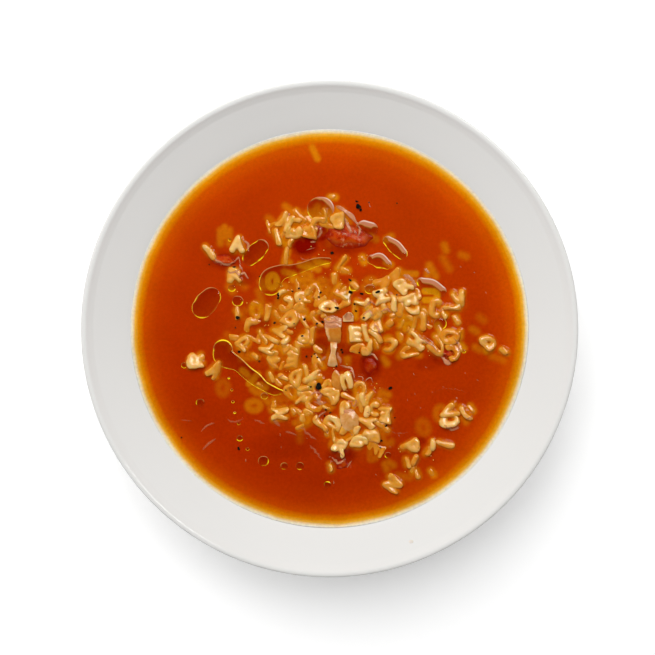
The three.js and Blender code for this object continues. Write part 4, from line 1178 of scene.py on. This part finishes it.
class SOUP_OT_pasta(bpy.types.Operator):
    """Lays the pasta letters of every clump, and the half-sunk ones between them"""

    bl_idname = "soup.pasta"
    bl_label = "Pasta"

    def execute(self, context):
        s, soup = context.scene.pasta, context.scene.soup
        draw = random.Random(s.seed)
        material = cooked_pasta()
        for node, clump in CLUMPS.items():
            parts, sunk = [], s.sink if is_lone(clump) else s.settle
            for name, x, y, turn, lift, *lean in clump["letters"]:
                core = heap_height(clump["pads"], x, y)
                middle = SOUP_LEVEL + core + LETTER_LIFT + OWN_LIFT * lift - sunk
                parts.append(laid_letter(name, x, y, turn, middle, lean[0] if lean else 0, draw))
            piece = mesh_piece(node + "_letters", parts)
            show_out(piece, soup, s.reach, letter_tones(parts, draw, SOAKED.get(node, 0)))
            finished(piece, material, "pasta", node)
        self.half_sunk(s, soup, draw, material)
        return {"FINISHED"}

    def half_sunk(self, s, soup, draw, material):
        """Letters whose tops only just break the film of broth."""
        rows = [*HALF_SUNK, *self.fillers(draw)]
        parts = []
        for name, x, y, turn, out in rows:
            level = float(film(np.array(x * STEP), np.array(y * STEP), soup))
            middle = level + out - s.thickness / 2
            parts.append(laid_letter(name, x, y, turn, middle, draw.uniform(-4, 4), draw))
        half = len(parts) // 2
        for name, some in (("half_sunk_letters", parts[:half]), ("filling_letters", parts[half:])):
            piece = mesh_piece(name, some)
            show_out(piece, soup, s.reach, letter_tones(some, draw))
            finished(piece, material, "pasta")
        piece = mesh_piece("pasta_crumbs", self.crumbs(soup, draw))
        show_out(piece, soup, 0.5)
        finished(piece, material, "pasta")

    def crumbs(self, soup, draw):
        """Crumbs that float between the letters."""
        ball, quads = melt([(0, 0, 0, 1)], 0.5, 2)
        parts = []
        for x, y, rx, ry, count in CRUMB_FIELDS:
            for _ in range(count):
                way, far = draw.uniform(0, 2 * math.pi), math.sqrt(draw.random())
                px, py = (x + rx * far * math.cos(way)) * STEP, (y + ry * far * math.sin(way)) * STEP
                shape = np.array([draw.uniform(0.22, 0.5), draw.uniform(0.2, 0.42), 0.3])
                level = float(film(np.array(px), np.array(py), soup))
                parts.append((ball * shape + np.array((px, py, level + 0.12)), quads))
        return parts

    def fillers(self, draw):
        """Spots in the heap that are farthest from its other letters."""
        heaps = [CLUMPS["pasta_raft"], CLUMPS["pasta_top"]]
        pads = [pad for clump in heaps for pad in clump["pads"]]
        letters = [row for clump in heaps for row in clump["letters"]] + HALF_SUNK
        taken = [row[1:3] for row in letters]
        taken += [row[:2] for row in (*TOMATOES.values(), *ONIONS.values(), *STAINS)]
        taken += [(row[0], row[1] + end * row[2]) for row in ONIONS.values() for end in (-0.4, 0.4)]
        taken += [spot[:2] for *_, route in OIL_DROPS for spot in route]
        rows = []
        for _ in range(FILLERS):
            spots = [self.spot(draw, pads) for _ in range(14)]
            best = max(spots, key=lambda spot: min(math.dist(spot, row) for row in taken))
            taken.append(best)
            rows.append((draw.choice(FILLER_NAMES), *best, draw.uniform(0, 360), draw.uniform(0.0, 0.35)))
        return rows

    def spot(self, draw, pads):
        px, py, rx, ry, _heap = draw.choice(pads)
        way, far = draw.uniform(0, 2 * math.pi), math.sqrt(draw.random()) * 0.95
        return px + rx * far * math.cos(way), py + ry * far * math.sin(way)


class SOUP_OT_tomato(bpy.types.Operator):
    """Makes the bits of stewed tomato"""

    bl_idname = "soup.tomato"
    bl_label = "Tomato"

    def execute(self, context):
        material = stewed_tomato()
        draw = random.Random(3)
        for node, (x, y, rx, ry, turn, up, down) in TOMATOES.items():
            bpy.ops.object.select_all(action="DESELECT")
            bpy.ops.mesh.primitive_uv_sphere_add(segments=96, ring_count=48, radius=MM)
            piece = context.active_object
            piece.name = piece.data.name = node + "_flesh"
            p = places(piece)
            long, cross = TOMATO_FOLDS
            swell = 1 + long * np.sin(5.1 * p[:, 0] + x) + cross * np.sin(6.7 * p[:, 1] + 4.1 * p[:, 2] + y)
            small, broad = ripples(draw, 5, 0.5, 1.2)(p), ripples(draw, 3, 1.2, 2.4)(p)
            swell = swell * (1 + 0.03 * small + 0.03 * broad)
            p[:, 2] = np.where(p[:, 2] > 0, np.maximum(p[:, 2], 0) ** 1.6, p[:, 2])
            height = np.where(p[:, 2] > 0, up, down)
            p = p * swell[:, None] * np.stack([height * 0 + rx * STEP, height * 0 + ry * STEP, height], axis=1)
            px, py = turned(p[:, 0], p[:, 1], turn)
            put(piece, np.stack([px + x * STEP, py + y * STEP, p[:, 2] + SOUP_LEVEL], axis=1))
            only(piece)
            bpy.ops.object.shade_smooth()
            show_out(piece, context.scene.soup, 0.9)
            finished(piece, material, "tomato", node)
        return {"FINISHED"}


class SOUP_OT_onion(bpy.types.Operator):
    """Cuts the bits of onion from a curved layer"""

    bl_idname = "soup.onion"
    bl_label = "Onion"

    def execute(self, context):
        s = context.scene.toppings
        material = stewed_onion()
        draw = random.Random(11)
        for node, (x, y, length, near, far, waist, turn, crown, light, share, round_off) in ONIONS.items():
            bpy.ops.object.select_all(action="DESELECT")
            bpy.ops.mesh.primitive_grid_add(x_subdivisions=28, y_subdivisions=44, size=2 * MM)
            piece = context.active_object
            piece.name = piece.data.name = node + "_layer"
            u, v = places(piece)[:, 0], places(piece)[:, 1]
            left, foot = smooth(0.4, 0.75, -u), smooth(-0.5, -0.95, v)
            pale = light + (1 - 2 * round_off) * (0.8 * left + 0.2 * foot)
            small = share == 1  # a half-moon, with a straight foot and a pale rim
            cut = round_off * np.where(v > 0, 1.9, 0.3) if small else round_off
            u, v = u * np.sqrt(1 - cut * v**2), v * np.sqrt(1 - cut * u**2)
            half = ((far + near) / 2 + (near - far) / 2 * v) / 2 * STEP
            half = half * (1 - waist * np.exp(-4 * (v - 0.1) ** 2))
            py = v * length / 2 * STEP
            px = u * half * (1 + 0.03 * np.sin(1.7 * py + x)) + 0.12 * np.sin(0.8 * py + y)
            fold = ripples(draw, 4, 4, 9)(np.stack([px, py, 0 * px], axis=1))
            pink = smooth(1 - 2 * share - 0.12, 1 - 2 * share + 0.12, v)
            if small:
                # painted highlight: the small half-moon's border is kept out of the pink, so it shows the pale
                # onion tone
                pink = pink * smooth(0.85, 0.6, np.hypot(u, v))
            crease = np.sin(3.3 * py + 1.2 * np.sin(1.1 * px + x) + 0.5 * px)
            pz = crown - ONION_CURVE + np.sqrt(ONION_CURVE**2 - px**2 - py**2) + 0.15 * fold
            pz = pz + 0.13 * (not small) * pink * crease - (share == 0.4) * 0.3 * smooth(-0.5, -1, v)
            qx, qy = turned(px, py, turn)
            put(piece, np.stack([qx + x * STEP, qy + y * STEP, pz + SOUP_LEVEL], axis=1))
            over = pz + SOUP_LEVEL - film(qx + x * STEP, qy + y * STEP, context.scene.soup)
            mark(piece, "bare", np.clip(pale + 0.5 * small, 0, 1) * smooth(-0.2, 0.9, over))
            mark(piece, "pink", pink)
            modify(piece, "SOLIDIFY", thickness=s.onion_thickness * MM, offset=-1)
            modify(piece, "SUBSURF", levels=1, render_levels=1)
            only(piece)
            bpy.ops.object.shade_smooth()
            finished(piece, material, "onion", node)
        return {"FINISHED"}


class SOUP_OT_oil(bpy.types.Operator):
    """Floats the drops of oil"""

    bl_idname = "soup.oil"
    bl_label = "Oil"

    def execute(self, context):
        soup, s = context.scene.soup, context.scene.toppings
        material = olive_oil()
        draw = random.Random(17)
        parts, gold, pale, low = [], [], [], []
        for arcs, reflection_way, width, roundness, route in OIL_DROPS:
            points, quads, inset, way, across = self.drop(route, roundness)
            # painted light: a gold line along the edge where a drop gathers light, on the arcs given for each
            # drop
            wide = s.oil_line * np.clip(0.75 + 0.35 * ripples(draw, 3, 3, 9)(points), 0.3, 1.4)
            line = smooth(wide, 0.3 * wide, inset)
            line = line * np.clip(0.95 + 0.4 * ripples(draw, 4, 2, 7)(points), 0.3, 1)
            lit = np.max([self.arc(way, *arc) for arc in arcs], axis=0)
            gold.append(line * lit)
            # painted reflection: a pale band with a white line in it on the edge that faces the given way, and
            # a faint painted line of light along the upper edge
            facing = np.maximum(np.cos(way - math.radians(reflection_way)), 0)
            painted_veil = (0.6 if width > 1 else 0.48) * smooth(0, 0.4 * width + 0.05, width * facing**1.2 - inset)
            streak = np.exp(-(((inset - 0.12 * width) / (0.04 * width + 0.06)) ** 2))
            painted_shine = min(width / 2.2, 1) * streak * facing**5
            painted_rim = 0.4 * line * (1 - lit) * smooth(-0.5, 0.6, np.sin(way - 0.3))
            pale.append(np.clip(np.maximum(painted_veil, painted_rim) + 0.5 * painted_shine * (painted_veil > 0.05), 0, 1))
            low.append(across)
            points[:, 2] += film(points[:, 0], points[:, 1], soup)
            parts.append((points, quads))
        piece = mesh_piece("oil_drops", parts)
        mark(piece, "gold", np.concatenate(gold))
        mark(piece, "pale", np.concatenate(pale))
        mark(piece, "low", np.concatenate(low))
        seal(piece, 0.0001)
        finished(piece, material, "broth")
        self.films(draw)
        return {"FINISHED"}

    def arc(self, way, start, end):
        """1 where a direction lies between two angles in degrees, and a soft step down to 0 past them."""
        middle, half = math.radians(start + end) / 2, math.radians(end - start) / 2
        off = np.abs((way - middle + math.pi) % (2 * math.pi) - math.pi)
        return smooth(half + 0.35, half - 0.1, off)

    def films(self, draw):
        """Films that cling to whatever lies under them: bits of skin, and pink marks of painted reflection on
        oil.
        """
        rows = list(SKIN_AND_SHEEN_FILMS)
        for _ in range(SHEEN_DASHES):
            way, far = math.radians(draw.uniform(-125, 30)), draw.uniform(90, 165)
            x, y = far * math.cos(way), far * math.sin(way)
            lean, long = math.radians(draw.gauss(-45, 25)), draw.uniform(1.5, 3.5)
            route = [(x, y), (x + long * math.cos(lean), y + long * math.sin(lean))]
            rows.append((draw.uniform(0.25, 0.5), route, draw.uniform(0.5, 0.8)))
        parts, pale = [], []
        for strength, route, radius in rows:
            curve = np.array(spline(route, 6)) * STEP
            thin = [0.4 + 0.6 * math.sin(math.pi * (i + 0.5) / len(curve)) for i in range(len(curve))]
            balls = [(x, y, 0, radius * STEP * t) for (x, y), t in zip(curve, thin)]
            points, quads = melt(balls, max(0.17, 0.28 * radius * STEP), 2)
            points[:, :2] += 0.15 * ripples(draw, 3, 1.5, 4)(points)[:, None]
            tall = points[:, 2] / (radius * STEP)
            ground = np.array([ground_height(x, y) for x, y in points[:, :2]])
            points[:, 2] = ground + 0.08 + 0.22 * radius * STEP * (tall + 0.6)
            parts.append((points, quads))
            pale.append(1.1 * strength * smooth(-0.3, 1.1, tall))
        piece = mesh_piece("skin_and_sheen_films", parts)
        mark(piece, "pale", np.concatenate(pale))
        finished(piece, skin_and_sheen_film(), "broth")

    def drop(self, route, roundness):
        """One drop lofted along its route: its points and quads, and for each point how far it is in from
        the edge in mm, which way the edge there faces, and how far down the drop it lies, from 0 to 1."""
        if len(route) == 1:
            x, y, r = route[0]
            route = [(x - r / 10, y, r), (x + r / 10, y, r)]
        line = np.array(spline(route, 8)) * STEP
        along = np.concatenate([[0], np.cumsum(np.hypot(*np.diff(line[:, :2], axis=0).T))])
        length, first, last = along[-1], line[0, 2], line[-1, 2]
        ends = np.linspace(0, math.pi / 2, 12)
        straight = np.linspace(0, length, max(3, int(length / 0.4)))[1:-1]
        at = np.concatenate([-first * np.cos(ends), straight, length + last * np.sin(ends)])
        inner = np.clip(at, 0, length)
        spine = np.stack([np.interp(inner, along, line[:, k]) for k in range(3)], axis=1)
        slope = np.gradient(line[:, :2], along, axis=0)
        tangent = np.stack([np.interp(inner, along, slope[:, k]) for k in range(2)], axis=1)
        tangent /= np.linalg.norm(tangent, axis=1)[:, None]
        normal = np.stack([-tangent[:, 1], tangent[:, 0]], axis=1)
        past = (at - inner)[:, None]
        radius = np.sqrt(np.maximum(spine[:, 2:] ** 2 - past**2, 0))
        turn = np.linspace(0, 2 * math.pi, 49)[None, :-1]
        side = radius * np.cos(turn)
        rho = np.clip(np.hypot(past, side) / spine[:, 2:], 0, 1)
        tall = np.minimum(2 * OIL_HEIGHT, roundness * np.interp(inner, along, line[:, 2]))[:, None]
        dome = np.where(np.sin(turn) >= 0, tall, -0.3 * tall) * (1 - rho**2.4) ** 0.6
        out = past[..., None] * tangent[:, None, :] + side[..., None] * normal[:, None, :]
        flat = spine[:, None, :2] + out
        points = np.concatenate([flat, dome[..., None]], axis=2).reshape(-1, 3)
        rows, columns = dome.shape
        i, j = np.meshgrid(np.arange(rows - 1), np.arange(columns), indexing="ij")
        k = (j + 1) % columns
        this, after = i * columns, (i + 1) * columns
        quads = np.stack([this + j, this + k, after + k, after + j], axis=2)
        inset = ((1 - rho) * spine[:, 2:]).ravel()
        way = np.arctan2(out[..., 1], out[..., 0]).ravel()
        low = (0.5 - 0.5 * out[..., 1] / spine[:, 2:]).ravel()
        return points, quads.reshape(-1, 4), inset, way, low


class SOUP_OT_pepper(bpy.types.Operator):
    """Scatters the ground pepper"""

    bl_idname = "soup.pepper"
    bl_label = "Pepper"

    def execute(self, context):
        draw = random.Random(5)
        parts = []
        for x, y, length, width, turn in PEPPER:
            long, wide = length * STEP * 0.6, width * STEP * 0.6
            small = min(long, wide)
            balls = []
            for _ in range(5):
                along = draw.uniform(-1, 1) * (long - small * 0.6)
                off = draw.uniform(-1, 1) * (wide - small * 0.6)
                balls.append((along, off, draw.uniform(-0.2, 0.3) * small, small * draw.uniform(0.45, 0.8)))
            points, quads = melt(balls, max(0.09, small * 0.25), 0)
            px, py = turned(points[:, 0], points[:, 1], turn)
            px, py = px + x * STEP, py + y * STEP
            top = ground_height(px.mean(), py.mean())
            parts.append((np.stack([px, py, points[:, 2] * 0.7 + top + 0.3 * small], axis=1), quads))
        piece = mesh_piece("pepper", parts)
        finished(piece, ground_pepper(), "tomato")
        return {"FINISHED"}


WET = ("cooked_pasta", "stewed_onion", "skin_and_sheen_film")  # the finishes that mirror the glint lamp
LAMP_DISTANCE = 1.3  # m from the bowl
CAMERA_OFFSET = (-0.97 * MM, 0.55 * MM)  # the picture's middle lies this far from the bowl's


class SOUP_OT_stage(bpy.types.Operator):
    """Sets the floor, the soft light and the camera"""

    bl_idname = "soup.stage"
    bl_label = "Stage"

    def execute(self, context):
        s = context.scene.stage
        bpy.ops.object.select_all(action="DESELECT")
        bpy.ops.mesh.primitive_plane_add(size=6, location=(0, 0, -0.0003))
        floor = context.active_object
        floor.name = "floor"
        floor.data.materials.append(white_card())
        self.soft_box("key_light", 108, 61, 1.3, s.key_power).visible_glossy = False
        self.soft_box("side_light", 48, 62, 0.3, s.side_power).visible_diffuse = False
        glint = self.soft_box("glint_light", 52, 50, 0.8, s.glint_power)
        glint.visible_diffuse = False
        wet = bpy.data.collections.new("wet_food")
        for piece in context.scene.objects:
            if piece.type == "MESH" and piece.data.materials and piece.data.materials[0].name in WET:
                wet.objects.link(piece)
        glint.light_linking.receiver_collection = wet
        self.tent(context, s)
        bpy.ops.object.camera_add(location=(*CAMERA_OFFSET, s.camera_height), rotation=(0, 0, 0))
        camera = context.active_object
        camera.data.lens = s.lens / MM
        camera.data.sensor_width = 36
        context.scene.camera = camera
        context.scene.view_settings.view_transform = "Standard"
        return {"FINISHED"}

    def soft_box(self, name, azimuth, elevation, width, watts):
        """A square soft box that looks at the bowl, its azimuth counted from +X towards +Y."""
        a, e = math.radians(azimuth), math.radians(elevation)
        place = Vector((math.cos(a) * math.cos(e), math.sin(a) * math.cos(e), math.sin(e))) * LAMP_DISTANCE
        bpy.ops.object.light_add(type="AREA", location=place)
        lamp = bpy.context.active_object
        lamp.name = name
        lamp.rotation_euler = (-place).to_track_quat("-Z", "Y").to_euler()
        lamp.data.shape = "SQUARE"
        lamp.data.size = width
        lamp.data.energy = watts
        return lamp

    def tent(self, context, s):
        """A pale tent round the table, dark straight above, where a camera hides it."""
        world = bpy.data.worlds.new("tent")
        world.use_nodes = True
        world.node_tree.nodes.clear()
        way = add(world, "TexCoord").outputs["Generated"]
        up = add(world, "SeparateXYZ", {"Vector": way})
        open_part = add(
            world, "MapRange",
            {"Value": up.outputs["Z"], "From Min": 0.9, "From Max": 0.6, "To Min": 0.0, "To Max": s.sky},
            interpolation_type="SMOOTHSTEP",
        )
        light = add(world, "Background", {"Color": (1, 1, 1, 1), "Strength": open_part})
        add(world, "OutputWorld", {"Surface": light})
        context.scene.world = world


PIECES = (
    SOUP_OT_bowl, SOUP_OT_broth, SOUP_OT_pasta, SOUP_OT_tomato, SOUP_OT_onion, SOUP_OT_oil, SOUP_OT_pepper,
    SOUP_OT_stage,
)


class SOUP_PT_panel(bpy.types.Panel):
    """Lists the bowl's pieces and settings"""

    bl_idname = "SOUP_PT_panel"
    bl_label = "Soup"
    bl_space_type = "VIEW_3D"
    bl_region_type = "UI"
    bl_category = "Soup"

    def draw(self, context):
        for piece in PIECES:
            self.layout.operator(piece.bl_idname)
        for name in GROUPS:
            group = getattr(context.scene, name)
            for key in group.__annotations__:
                self.layout.prop(group, key)


GROUPS = {"soup": SoupSettings, "pasta": PastaSettings, "toppings": ToppingSettings, "stage": StageSettings}
CLASSES = (*GROUPS.values(), *PIECES, SOUP_PT_panel)


def register():
    for cls in CLASSES:
        bpy.utils.register_class(cls)
    for name, group in GROUPS.items():
        setattr(bpy.types.Scene, name, PointerProperty(type=group))


def unregister():
    for name in GROUPS:
        delattr(bpy.types.Scene, name)
    for cls in reversed(CLASSES):
        bpy.utils.unregister_class(cls)


def main():
    register()
    bpy.ops.soup.bowl()
    bpy.ops.soup.broth()
    bpy.ops.soup.pasta()
    bpy.ops.soup.tomato()
    bpy.ops.soup.onion()
    bpy.ops.soup.oil()
    bpy.ops.soup.pepper()
    bpy.ops.soup.stage()


if __name__ == "__main__":
    main()
